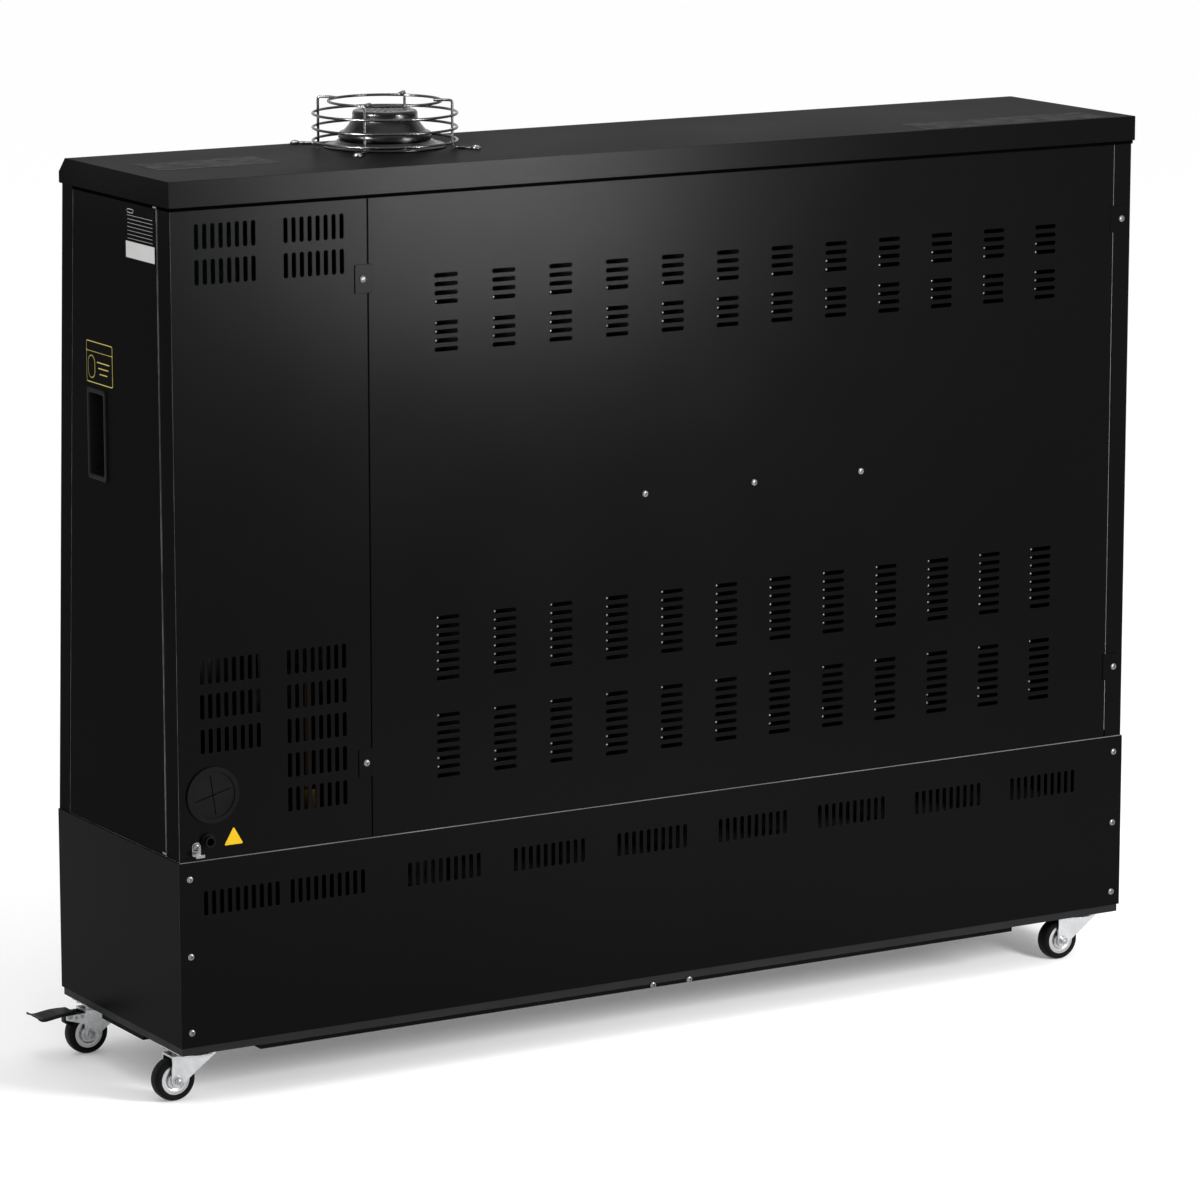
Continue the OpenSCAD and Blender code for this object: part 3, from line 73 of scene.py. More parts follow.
# Middle of the handles
HANDLE_Y = -34.5 * MM
HANDLE_Z = 712 * MM
# Casters: their kingpins, the wheels' way behind them, and the bolts round them
CASTER_X = 585.8 * MM
CASTER_Y = 109 * MM
TRAIL = 25 * MM
WHEEL_Z = 24 * MM
FORK_HALF = 12.5 * MM
BOLT_X = 22.5 * MM
BOLT_Y = 17 * MM
# Pin of a brake in millimetres: how far behind its kingpin, and its height
BRAKE_PIN_X = 50
BRAKE_PIN_Z = 47.5
CORNERS = {"rear_right": (1, 1), "rear_left": (-1, 1), "front_right": (1, -1), "front_left": (-1, -1)}
SIDES = {"right": 1, "left": -1}


# Materials

def shader(name, color, rough, metal=0.0, spec=0.5):
    """A material and its shader, with its constants on the shader's own sockets."""
    mat = bpy.data.materials.new(name)
    mat.use_nodes = True
    bsdf = mat.node_tree.nodes["Principled BSDF"]
    bsdf.inputs["Base Color"].default_value = (*color, 1)
    bsdf.inputs["Roughness"].default_value = rough
    bsdf.inputs["Metallic"].default_value = metal
    bsdf.inputs["Specular IOR Level"].default_value = spec
    return mat, bsdf


def add(owner, kind, **settings):
    """A new node in a material or a world."""
    node = owner.node_tree.nodes.new(kind)
    for key, value in settings.items():
        setattr(node, key, value)
    return node


def join(owner, out, into):
    owner.node_tree.links.new(out, into)


def place(mat, stretch=None):
    """Coordinates of a texture in metres, stretched along an axis when asked."""
    coord = add(mat, "ShaderNodeTexCoord")
    if stretch is None:
        return coord.outputs["Object"]
    mapping = add(mat, "ShaderNodeMapping")
    mapping.inputs["Scale"].default_value = stretch
    join(mat, coord.outputs["Object"], mapping.inputs["Vector"])
    return mapping.outputs["Vector"]


def noise(mat, scale, detail=4.0, stretch=None):
    node = add(mat, "ShaderNodeTexNoise")
    node.inputs["Scale"].default_value = scale
    node.inputs["Detail"].default_value = detail
    join(mat, place(mat, stretch), node.inputs["Vector"])
    return node.outputs["Fac"]


def remap(mat, value, low, high, from_low=0.3, from_high=0.7):
    """Brings a value from one span to another; noise lies mostly between 0.3 and 0.7."""
    node = add(mat, "ShaderNodeMapRange")
    node.inputs["From Min"].default_value = from_low
    node.inputs["From Max"].default_value = from_high
    node.inputs["To Min"].default_value = low
    node.inputs["To Max"].default_value = high
    join(mat, value, node.inputs["Value"])
    return node.outputs["Result"]


def color_bands(mat, value, stops):
    """Colour that runs through (position, colour) stops."""
    ramp = add(mat, "ShaderNodeValToRGB")
    elements = ramp.color_ramp.elements
    while len(elements) < len(stops):
        elements.new(0.5)
    for element, (at, color) in zip(elements, stops):
        element.position = at
        element.color = (*color, 1)
    join(mat, value, ramp.inputs["Fac"])
    return ramp.outputs["Color"]


def grain_bump(mat, height, strength, depth):
    node = add(mat, "ShaderNodeBump")
    node.inputs["Strength"].default_value = strength
    node.inputs["Distance"].default_value = depth
    join(mat, height, node.inputs["Height"])
    return node


def edge_mask(mat, bevel_normal):
    """1 on edges and 0 on flat faces, broken up a little by noise: the mask of a painted edge highlight."""
    # Cosines between the softened normal and the face's own, for a wholly highlighted edge and for a flat
    # face
    full_highlight_below, flat_above = 0.82, 0.995
    geometry = add(mat, "ShaderNodeNewGeometry")
    dot = add(mat, "ShaderNodeVectorMath", operation="DOT_PRODUCT")
    join(mat, geometry.outputs["Normal"], dot.inputs[0])
    join(mat, bevel_normal, dot.inputs[1])
    bent = remap(mat, dot.outputs["Value"], 1.0, 0.0, full_highlight_below, flat_above)
    patchy = add(mat, "ShaderNodeMath", operation="MULTIPLY")
    join(mat, bent, patchy.inputs[0])
    join(mat, remap(mat, noise(mat, 35, 5.0), 0.45, 1.0, 0.35, 0.6), patchy.inputs[1])
    return patchy.outputs[0]


def finish_of(name, color, rough, metal=0.0, spec=0.5, grain=900, bump=0.1, depth=0.0002, vary=0.15,
              rough_span=0.06, edge=0.0008, stretch=None, blotch=6.0, edge_highlight=None):
    """A surface whose colour, roughness and grain vary, with softened edges and, when asked, a painted
    highlight along them in a lighter colour.
    """
    mat, bsdf = shader(name, color, rough, metal, spec)
    low = tuple(c * (1 - vary) for c in color)
    high = tuple(min(1, c * (1 + vary)) for c in color)
    tint = color_bands(mat, noise(mat, blotch, 5.0, stretch), [(0.3, low), (0.7, high)])
    gloss = noise(mat, blotch * 2.3, 6.0, stretch)
    join(mat, remap(mat, gloss, rough - rough_span, rough + rough_span), bsdf.inputs["Roughness"])
    normal = None
    if edge:
        bevel = add(mat, "ShaderNodeBevel", samples=4)
        bevel.inputs["Radius"].default_value = edge
        normal = bevel.outputs["Normal"]
    # Painted highlight: a lighter colour along the edges, where light would catch them
    if edge_highlight:
        mix = add(mat, "ShaderNodeMix", data_type="RGBA")
        join(mat, edge_mask(mat, normal), mix.inputs["Factor"])
        join(mat, tint, mix.inputs["A"])
        mix.inputs["B"].default_value = (*edge_highlight, 1)
        tint = mix.outputs["Result"]
    join(mat, tint, bsdf.inputs["Base Color"])
    if bump:
        node = grain_bump(mat, noise(mat, grain, 2.0, stretch), bump, depth)
        if normal is not None:
            join(mat, normal, node.inputs["Normal"])
        normal = node.outputs["Normal"]
    if normal is not None:
        join(mat, normal, bsdf.inputs["Normal"])
    return mat


def heat_steel(name):
    """Steel with the brown and blue bands that heat leaves along a flue pipe."""
    mat, bsdf = shader(name, (0.3, 0.28, 0.26), 0.4, 1.0)
    bands = [(0.32, (0.16, 0.12, 0.1)), (0.44, (0.31, 0.25, 0.19)), (0.52, (0.36, 0.34, 0.31)),
             (0.6, (0.2, 0.2, 0.25)), (0.7, (0.1, 0.085, 0.08))]
    join(mat, color_bands(mat, noise(mat, 3.2, 4.0, (1.0, 0.6, 0.6)), bands), bsdf.inputs["Base Color"])
    join(mat, remap(mat, noise(mat, 30, 6.0), 0.3, 0.55), bsdf.inputs["Roughness"])
    bump = grain_bump(mat, noise(mat, 260, 4.0, (0.1, 1.0, 1.0)), 0.15, 0.0003)
    join(mat, bump.outputs["Normal"], bsdf.inputs["Normal"])
    return mat


def grey(value):
    return (value, value, value)


# What the finishes of a family share
COAT = dict(grain=1500, bump=0.08, vary=0.1, rough_span=0.02, edge=0.0007, blotch=2.5)
# Black coat with a painted highlight along its edges, in light grey
COAT_WITH_EDGE_HIGHLIGHT = dict(COAT, edge=0.0016, edge_highlight=grey(0.38))
PLATED = dict(metal=1.0, grain=400, bump=0.05, vary=0.12, rough_span=0.08, blotch=60)
BUTTON = dict(grain=1500, bump=0.08, edge=0.0008, blotch=60)
FILM = dict(grain=300, bump=0.03, edge=0, blotch=30)


FINISHES = {
    # Powder coats and the other paints. The rear is satin; the roof and the ends take a matt copy of the
    # same black that reflects far less, which is painted shade
    "coat": finish_of("powder_coat_black", (0.0018, 0.0017, 0.0017), 0.25, spec=0.032, **COAT),
    "coat_base": finish_of("base_coat_black", (0.0026, 0.0025, 0.0025), 0.32, spec=0.014, **COAT),
    "coat_matt": finish_of("roof_coat_black", (0.0021, 0.002, 0.002), 0.42, spec=0.005, **COAT),
    "coat_edge": finish_of("side_coat_black", (0.0021, 0.002, 0.002), 0.42, spec=0.005, **COAT_WITH_EDGE_HIGHLIGHT),
    # The tray coat gets a dark grey painted highlight along its edges
    "coat_fine": finish_of("tray_coat_black", grey(0.003), 0.4, spec=0.01, grain=1300, vary=0.12,
                           rough_span=0.03, edge=0.001, blotch=3, edge_highlight=grey(0.05)),
    # Lighter grey for the painted highlight along the top edge of the base
    "worn_lip": finish_of("worn_lip", grey(0.09), 0.5, spec=0.1, vary=0.3, edge=0, blotch=12),
    # Darker than a painted casting: painted shade of the inside, seen through the vents
    "casting": finish_of("painted_casting", (0.008, 0.0083, 0.009), 0.5, spec=0.1, grain=500, bump=0.25,
                         edge=0.0012, blotch=15),
    "tank": finish_of("tank_enamel", (0.018, 0.02, 0.022), 0.36, spec=0.4, grain=600, bump=0.12, vary=0.12,
                      edge=0.0015, blotch=8),
    "guard_wire": finish_of("guard_enamel", grey(0.012), 0.35, spec=0.15, bump=0.08, edge=0.0003,
                            blotch=20),
    # Metals
    "zinc": finish_of("zinc_plate", (0.5, 0.51, 0.52), 0.28, edge=0.0005, **PLATED),
    "rivet": finish_of("rivet_steel", (0.1, 0.1, 0.103), 0.42, edge=0, **PLATED),
    "screw": finish_of("screw_zinc", (0.17, 0.17, 0.175), 0.32, edge=0.0004, **PLATED),
    # Far darker than steel: the dark surroundings that the flue's metal would reflect are painted into its
    # colour, a painted dark reflection
    "stainless": finish_of("spun_steel", (0.017, 0.0165, 0.0163), 0.24, 1.0, grain=300, bump=0.02,
                           vary=0.08, rough_span=0.04, edge=0.0006, blotch=40),
    # Dark for bright wire for the same reason: painted dark reflection
    "wire": finish_of("bright_wire", grey(0.045), 0.26, 1.0, grain=500, bump=0.03, rough_span=0.05, edge=0,
                      blotch=80),
    "mirror_sheet": finish_of("polished_reflector", (0.8, 0.8, 0.81), 0.14, 1.0, grain=60, bump=0.05,
                              depth=0.001, vary=0.03, rough_span=0.05, edge=0, blotch=4,
                              stretch=(0.15, 1, 4)),
    "galvanised": finish_of("galvanised_sheet", (0.3, 0.31, 0.32), 0.42, 1.0, grain=120, bump=0.04,
                            vary=0.2, rough_span=0.1, edge=0.0006, blotch=45),
    "bare_steel": finish_of("bare_steel", (0.45, 0.455, 0.46), 0.34, 1.0, grain=400, bump=0.06, vary=0.12,
                            edge=0.0006, blotch=30),
    # Brass and copper far darker than their own colour: painted shade of the inside, seen through the vents
    "brass": finish_of("brass", (0.06, 0.043, 0.018), 0.36, 1.0, grain=400, bump=0.05, edge=0.0006,
                       blotch=50),
    "copper": finish_of("copper_tube", (0.025, 0.014, 0.009), 0.45, 1.0, grain=300, bump=0.04, vary=0.2,
                        edge=0, blotch=40),
    "tube_steel": heat_steel("heat_stained_steel"),
    # Plastics and rubber, and a black that sends back no light for the painted shadow under the lid
    # The moulded plastic gets a dark grey painted highlight along its edges
    "black_plastic": finish_of("moulded_plastic", grey(0.004), 0.42, spec=0.03, grain=2200, bump=0.2,
                               vary=0.1, rough_span=0.05, edge=0.001, blotch=15, edge_highlight=grey(0.08)),
    "display": finish_of("smoked_window", (0.004, 0.005, 0.007), 0.07, grain=100, bump=0.0, vary=0.1,
                         rough_span=0.02, edge=0.0004, blotch=10),
    "button_red": finish_of("button_red", (0.33, 0.018, 0.015), 0.38, **BUTTON),
    "button_grey": finish_of("button_grey", (0.46, 0.47, 0.48), 0.42, vary=0.06, **BUTTON),
    "board": finish_of("circuit_board", (0.012, 0.1, 0.035), 0.4, grain=500, vary=0.25, edge=0,
                       blotch=180),
    "switch_blue": finish_of("switch_blue", (0.02, 0.06, 0.19), 0.42, grain=1200, edge=0.001, blotch=30),
    "black_rubber": finish_of("black_rubber", grey(0.0035), 0.42, spec=0.04, bump=0.15, vary=0.2,
                              edge=0.0007, blotch=40),
    "tread": finish_of("tread_rubber", grey(0.004), 0.5, spec=0.05, grain=700, bump=0.3, vary=0.3,
                       rough_span=0.12, edge=0.0005, blotch=90),
    # Black that reflects nothing, for the painted shadow in the gap under the lid's rim
    "gap_foam": finish_of("gap_foam", grey(0.0006), 0.9, spec=0.0, vary=0.2, edge=0, blotch=40),
    # Films of the blank labels
    "film_black": finish_of("label_film_black", grey(0.003), 0.4, spec=0.004, **FILM),
    "film_lid": finish_of("label_film_grey", (0.005, 0.005, 0.0052), 0.36, spec=0.004, **FILM),
    "film_line": finish_of("label_line_grey", grey(0.3), 0.4, grain=300, bump=0.02, edge=0, blotch=30),
    "film_white": finish_of("label_film_white", (0.5, 0.5, 0.49), 0.35, vary=0.04, **FILM),
    "film_amber": finish_of("label_film_amber", (0.5, 0.31, 0.006), 0.5, spec=0.1, vary=0.06, **FILM),
    "film_yellow": finish_of("label_film_yellow", (0.5, 0.4, 0.04), 0.35, vary=0.06, **FILM),
}

# Nodes and slots whose finish isn't the one named after their slot
# The lid and the side panels take the less reflecting copy of the black coat: painted shade
NODE_FINISH = {"lid": "coat_matt", "side_panel_right": "coat_edge", "side_panel_left": "coat_edge",
               # The heat shield and the partition wall take the black tray coat: painted shade of the
               # inside, seen through the louvres and vents
               "base_shell": "coat_base", "heat_shield": "coat_fine", "partition_wall": "coat_fine",
               "chassis_tray": "casting", "cord_clamp": "screw"}
SLOT_FINISH = {"caster_tread": "tread"}
for part in frame["record"]["subparts"]:
    slot = part["material_slot"]
    key = NODE_FINISH.get(part["node"], SLOT_FINISH.get(slot, slot))
    materials = nodes[part["node"]].data.materials
    materials.clear()
    materials.append(FINISHES[key])


# Building helpers: profiles and outlines are in millimetres, points in metres

def mesh_object(name, bm):
    """An object with the mesh that was built, which is used up."""
    mesh = bpy.data.meshes.new(name)
    bm.to_mesh(mesh)
    bm.free()
    obj = bpy.data.objects.new(name, mesh)
    bpy.context.scene.collection.objects.link(obj)
    return obj


def new_piece(name, bm, finish, body="cabinet", angle=40):
    """A piece of the model with one finish or several, riding on a body."""
    bm.normal_update()
    obj = mesh_object(name, bm)
    for key in [finish] if isinstance(finish, str) else finish:
        obj.data.materials.append(FINISHES[key])
    obj.data.shade_smooth()
    obj.data.set_sharp_from_angle(angle=math.radians(angle))
    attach(obj, body)
    return obj


def face_outwards(bm):
    bmesh.ops.recalc_face_normals(bm, faces=bm.faces)


def close_holes(bm):
    """Fills every open loop and turns all faces outwards."""
    bmesh.ops.holes_fill(bm, edges=[e for e in bm.edges if e.is_boundary], sides=0)
    face_outwards(bm)


def loft(bm, rows, close_rows=False, caps=False):
    """Joins rings of points with quads; the last ring meets the first, or the ends get caps."""
    rings = [[bm.verts.new(p) for p in row] for row in rows]
    count = len(rings[0])
    pairs = list(zip(rings, rings[1:]))
    if close_rows:
        pairs.append((rings[-1], rings[0]))
    for a, b in pairs:
        for i in range(count):
            j = (i + 1) % count
            bm.faces.new((a[i], a[j], b[j], b[i]))
    if caps:
        bm.faces.new(list(reversed(rings[0])))
        bm.faces.new(rings[-1])


def spun(bm, profile, centre, axis="Z", count=64, side=1, closed=False):
    """Surface of revolution of (radius, height) points; side -1 turns the heights round."""
    rows = []
    for radius, height in profile:
        r, h = radius * MM, side * height * MM
        row = []
        for i in range(count):
            a = 2 * math.pi * i / count
            c, s = r * math.cos(a), r * math.sin(a)
            row.append(centre + Vector((c, s, h) if axis == "Z" else (s, h, c)))
        rows.append(row)
    loft(bm, rows, close_rows=closed)


def curve_through(points, steps):
    """Smooth curve through points in the plane."""
    out = []
    n = len(points)
    for i in range(n - 1):
        around = [points[max(0, min(n - 1, k))] for k in (i - 1, i, i + 1, i + 2)]
        for s in range(steps):
            t = s / steps
            out.append(tuple(
                0.5 * (2 * b + (c - a) * t + (2 * a - 5 * b + 4 * c - d) * t * t
                       + (3 * b - a - 3 * c + d) * t ** 3)
                for a, b, c, d in zip(*around)))
    out.append(points[-1])
    return out


def bend(start, corner, end, steps):
    """Round way from start to end, drawn towards the corner between them."""
    out = []
    for s in range(steps + 1):
        t = s / steps
        out.append(start * (1 - t) ** 2 + corner * 2 * t * (1 - t) + end * t * t)
    return out


def rounded_path(points, radius, steps=6):
    """Polyline with its corners rounded."""
    out = [points[0]]
    for a, b, c in zip(points, points[1:], points[2:]):
        ab, cb = (a - b).normalized(), (c - b).normalized()
        half = ab.angle(cb) / 2
        reach = min(radius / math.tan(half), (a - b).length * 0.49, (c - b).length * 0.49)
        out += bend(b + ab * reach, b, b + cb * reach, steps)
    out.append(points[-1])
    return out


def tube(bm, path, radius, sides=12, closed=False):
    """Round bar along a path."""
    rows = []
    count = len(path)
    side = None
    for i, p in enumerate(path):
        ahead = path[(i + 1) % count] if closed else path[min(i + 1, count - 1)]
        behind = path[i - 1] if closed or i else path[0]
        t = (ahead - behind).normalized()
        if side is None:
            # Any direction that no path here runs along
            side = t.cross(Vector((0.13, 0.27, 0.95))).normalized()
        side = (side - t * side.dot(t)).normalized()
        other = t.cross(side)
        angles = [2 * math.pi * k / sides for k in range(sides)]
        rows.append([p + radius * (math.cos(a) * side + math.sin(a) * other) for a in angles])
    loft(bm, rows, close_rows=closed, caps=not closed)


def block(bm, low, high):
    """Box between two corners."""
    (x0, y0, z0), (x1, y1, z1) = low, high
    loft(bm, [[Vector((x0, y0, z)), Vector((x1, y0, z)), Vector((x1, y1, z)), Vector((x0, y1, z))]
              for z in (z0, z1)], caps=True)


def rounded_outline(width, height, radius, steps=5):
    """Rectangle with round corners, about its middle."""
    out = []
    for sx, sy, start in ((1, 1, 0), (-1, 1, 90), (-1, -1, 180), (1, -1, 270)):
        for s in range(steps + 1):
            a = math.radians(start + 90 * s / steps)
            out.append((sx * (width / 2 - radius) + radius * math.cos(a),
                        sy * (height / 2 - radius) + radius * math.sin(a)))
    return out


def rounded_plate(bm, centre, right, up, width, height, radius, thick):
    """Thin plate with round corners; it stands off its centre along right x up."""
    out = right.cross(up).normalized()
    ring = rounded_outline(width, height, radius)
    rows = [[centre + (right * x + up * y + out * h) * MM for x, y in ring] for h in (0, thick)]
    loft(bm, rows, caps=True)


def cut_from(obj, cutter_bm):
    """Takes a shape out of an object and keeps the result in its mesh."""
    face_outwards(cutter_bm)
    cutter = mesh_object("cutter", cutter_bm)
    mod = obj.modifiers.new("cut", "BOOLEAN")
    mod.operation = "DIFFERENCE"
    mod.solver = "EXACT"
    mod.object = cutter
    bpy.context.view_layer.update()
    result = bpy.data.meshes.new_from_object(obj.evaluated_get(bpy.context.evaluated_depsgraph_get()))
    obj.modifiers.clear()
    used = [obj.data, cutter.data]
    obj.data = result
    bpy.data.objects.remove(cutter)
    for mesh in used:
        bpy.data.meshes.remove(mesh)


# Domed rivet heads on the sheet behind the louvres, seen at the near end of some slots

def louvre_rivets():
    bm = bmesh.new()
    radius = LOUVRE_HEIGHT / MM / 2
    dome = [(0.02, 1.7), (radius * 0.4, 1.5), (radius * 0.75, 0.95), (radius * 0.98, 0),
            (radius * 0.98, -0.8)]
    behind = 3.2 * MM
    # Height of a block's top slot above the base's underside, in mm, and the slots that show a rivet
    top_block = 817
    blocks = ((top_block, (2, 3)), (765, (0, 1, 2)), (440.5, range(7)), (331.5, (0, 5, 6)))
    for column in range(COLUMNS):
        x = PANEL_MIDDLE + (column - (COLUMNS - 1) / 2) * COLUMN_PITCH + LOUVRE_LENGTH / 2 - radius * MM
        for top, slots in blocks:
            for i in slots:
                # The first of the top block's rivets show in five columns only
                if top == top_block and i == 2 and column > 4:
                    continue
                z = BASE_Z + top * MM - i * LOUVRE_PITCH
                spun(bm, dome, CENTRE + Vector((x, BODY_BACK - behind, z)), "Y", 16)
    bmesh.ops.remove_doubles(bm, verts=bm.verts, dist=4e-5)
    close_holes(bm)
    new_piece("louvre_rivets", bm, "rivet")


louvre_rivets()


# Screws: pan heads with a cross recess, and the hexagon bolts of the casters

def screw_head():
    """Mesh of a pan head on the plane z = 0."""
    bm = bmesh.new()
    r, h = 4.0, 2.2
    dome = [(0.02, h), (r * 0.45, h * 0.97), (r * 0.75, h * 0.82), (r * 0.93, h * 0.55), (r, h * 0.25)]
    spun(bm, dome + [(r, 0), (0.02, 0)], Vector(), count=28)
    bmesh.ops.remove_doubles(bm, verts=bm.verts, dist=3e-5)
    bmesh.ops.contextual_create(bm, geom=[e for e in bm.edges if e.is_boundary])
    face_outwards(bm)
    obj = mesh_object("head", bm)
    # Cross that narrows towards its floor: height, half length and half width of both ends
    cutter = bmesh.new()
    rows = []
    for z, l, w in ((h * 0.3, 1.3, 0.4), (h * 1.2, 2.3, 0.65)):
        row = []
        for k in range(4):
            turn = Matrix.Rotation(math.radians(90 * k), 4, "Z")
            row += [turn @ Vector(p) * MM for p in ((l, -w, z), (l, w, z), (w, w, z))]
        rows.append(row)
    loft(cutter, rows, caps=True)
    cut_from(obj, cutter)
    mesh = obj.data
    bpy.data.objects.remove(obj)
    return mesh


def panel_screws():
    head = screw_head()
    bm = bmesh.new()

    def put(x, y, z, turn, upright=False):
        start = len(bm.verts)
        bm.from_mesh(head)
        bm.verts.ensure_lookup_table()
        matrix = Matrix.Translation(CENTRE + Vector((x, y, z)))
        if not upright:
            matrix = matrix @ Matrix.Rotation(math.radians(-90), 4, "X")
        matrix = matrix @ Matrix.Rotation(turn, 4, "Z")
        bmesh.ops.transform(bm, matrix=matrix, verts=bm.verts[start:])

    # The recesses point different ways, as they do on driven screws. First the ends of the base.
    turn = 0.0
    for s in (-1, 1):
        for level in (16.6, 101, 186.7):
            turn += 1.3
            put(s * (BASE_HALF - 12.4 * MM), BASE_BACK, BASE_Z + level * MM, turn)
    # Across the main rear panel
    for i in (-1, 0, 1):
        turn += 0.9
        put(PANEL_MIDDLE + i * 143 * MM, BODY_BACK, BASE_Z + 554.4 * MM, turn)
    # On its lapped tabs
    for level in (289.6, 819.7):
        for x in (SEAM_RIGHT + 7 * MM, SEAM_LEFT - 10.5 * MM):
            turn += 0.7
            put(x, BODY_BACK + TAB_THICK, BASE_Z + level * MM, turn)
    # On the chassis tray
    for x in (-22, 26):
        turn += 0.8
        put(x * MM, 149 * MM, 57.1 * MM, turn)
    # Cord clamp
    put(BASE_HALF - 21.2 * MM, BODY_BACK + CLAMP_THICK, BASE_Z + 221 * MM, 0.5)
    # Feet of the flue's cage
    for degrees in QUARTERS:
        a = math.radians(degrees)
        put(FLUE.x + CAGE_FOOT * math.cos(a), FLUE.y + CAGE_FOOT * math.sin(a), LID_TOP + 2 * MM, a, True)
    # Hexagon heads under the caster plates, the bolts' ends, and the nuts inside the tray
    for sx, sy in CORNERS.values():
        for bx in (-BOLT_X, BOLT_X):
            for by in (-BOLT_Y, BOLT_Y):
                at = CENTRE + Vector((sx * CASTER_X + bx, sy * CASTER_Y + by, 0))
                spun(bm, [(0.1, 53.3), (4.6, 53.3), (5.5, 53.9), (5.5, 56.5)], at, count=6)
                spun(bm, [(3, 59), (3, 66), (0.1, 66.6)], at, count=16)
                spun(bm, [(5.5, 60.6), (5.5, 65), (4.6, 65.6), (3, 65.6)], at, count=6)
    close_holes(bm)
    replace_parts(new_piece("panel_screws_cross_recessed", bm, "screw", angle=30), "panel_screws")


panel_screws()


# Casters

def wheels():
    tread_side = [(17.0, 7.2), (17.2, 8.3), (17.7, 8.85), (18.4, 8.95), (18.9, 8.6), (19.3, 8.6),
                  (19.9, 8.95), (21.0, 8.7), (22.3, 7.9), (23.2, 6.6), (23.75, 4.9), (23.95, 2.6),
                  (24.0, 0)]
    tread = tread_side + [(r, -h) for r, h in reversed(tread_side[:-1])] + [(17.0, -6), (17.0, 6)]
    # Pressed metal discs with a raised ring and a hub boss on both sides
    disc = curve_through([(3.06, 8.9), (6.2, 8.9), (6.8, 8.4), (7.0, 7.2), (8.2, 6.7), (10.4, 6.8),
                          (11.6, 7.6), (14.0, 7.9), (15.6, 7.5), (16.6, 7.6), (16.96, 6.8),
                          (16.96, 4.0)], 3)
    discs = disc + [(r, -h) for r, h in reversed(disc)]
    for corner, (sx, sy) in CORNERS.items():
        at = CENTRE + Vector((sx * CASTER_X + TRAIL, sy * CASTER_Y, WHEEL_Z))
        body = "wheel_" + corner
        bm = bmesh.new()
        spun(bm, tread, at, "Y", 72, closed=True)
        obj = new_piece("tread_" + corner, bm, "tread", body, angle=50)
        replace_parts(obj, "caster_wheel_" + corner)
        bm = bmesh.new()
        spun(bm, discs, at, "Y", 64, closed=True)
        face_outwards(bm)
        new_piece("hub_discs_" + corner, bm, "bare_steel", body, angle=50)


def fork_details():
    """Nuts over the axle's washers, and the rivets of the brake on the front forks."""
    for corner, (sx, sy) in CORNERS.items():
        swivel = CENTRE + Vector((sx * CASTER_X, sy * CASTER_Y, 0))
        bm = bmesh.new()
        for s in (-1, 1):
            axle = swivel + Vector((TRAIL, s * (FORK_HALF + 1.5 * MM), WHEEL_Z))
            spun(bm, [(4.6, 0), (4.6, 1.6), (4.0, 2.1), (2.4, 2.1)], axle, "Y", 6, side=s)
            spun(bm, [(2.4, 2.1), (2.4, 2.8), (1.6, 3.2), (0.05, 3.3)], axle, "Y", 24, side=s)
            if sy < 0:
                for x, z, r in ((BRAKE_PIN_X, BRAKE_PIN_Z, 3.1), (42.5, 45.2, 1.9), (35, 46, 1.9)):
                    at = swivel + Vector((x * MM, s * FORK_HALF, z * MM))
                    spun(bm, [(r, 0), (r, 0.7), (r * 0.7, 1.3), (0.05, 1.5)], at, "Y", 24, side=s)
        close_holes(bm)
        new_piece("axle_nuts_" + corner, bm, "galvanised", "fork_" + corner, angle=35)


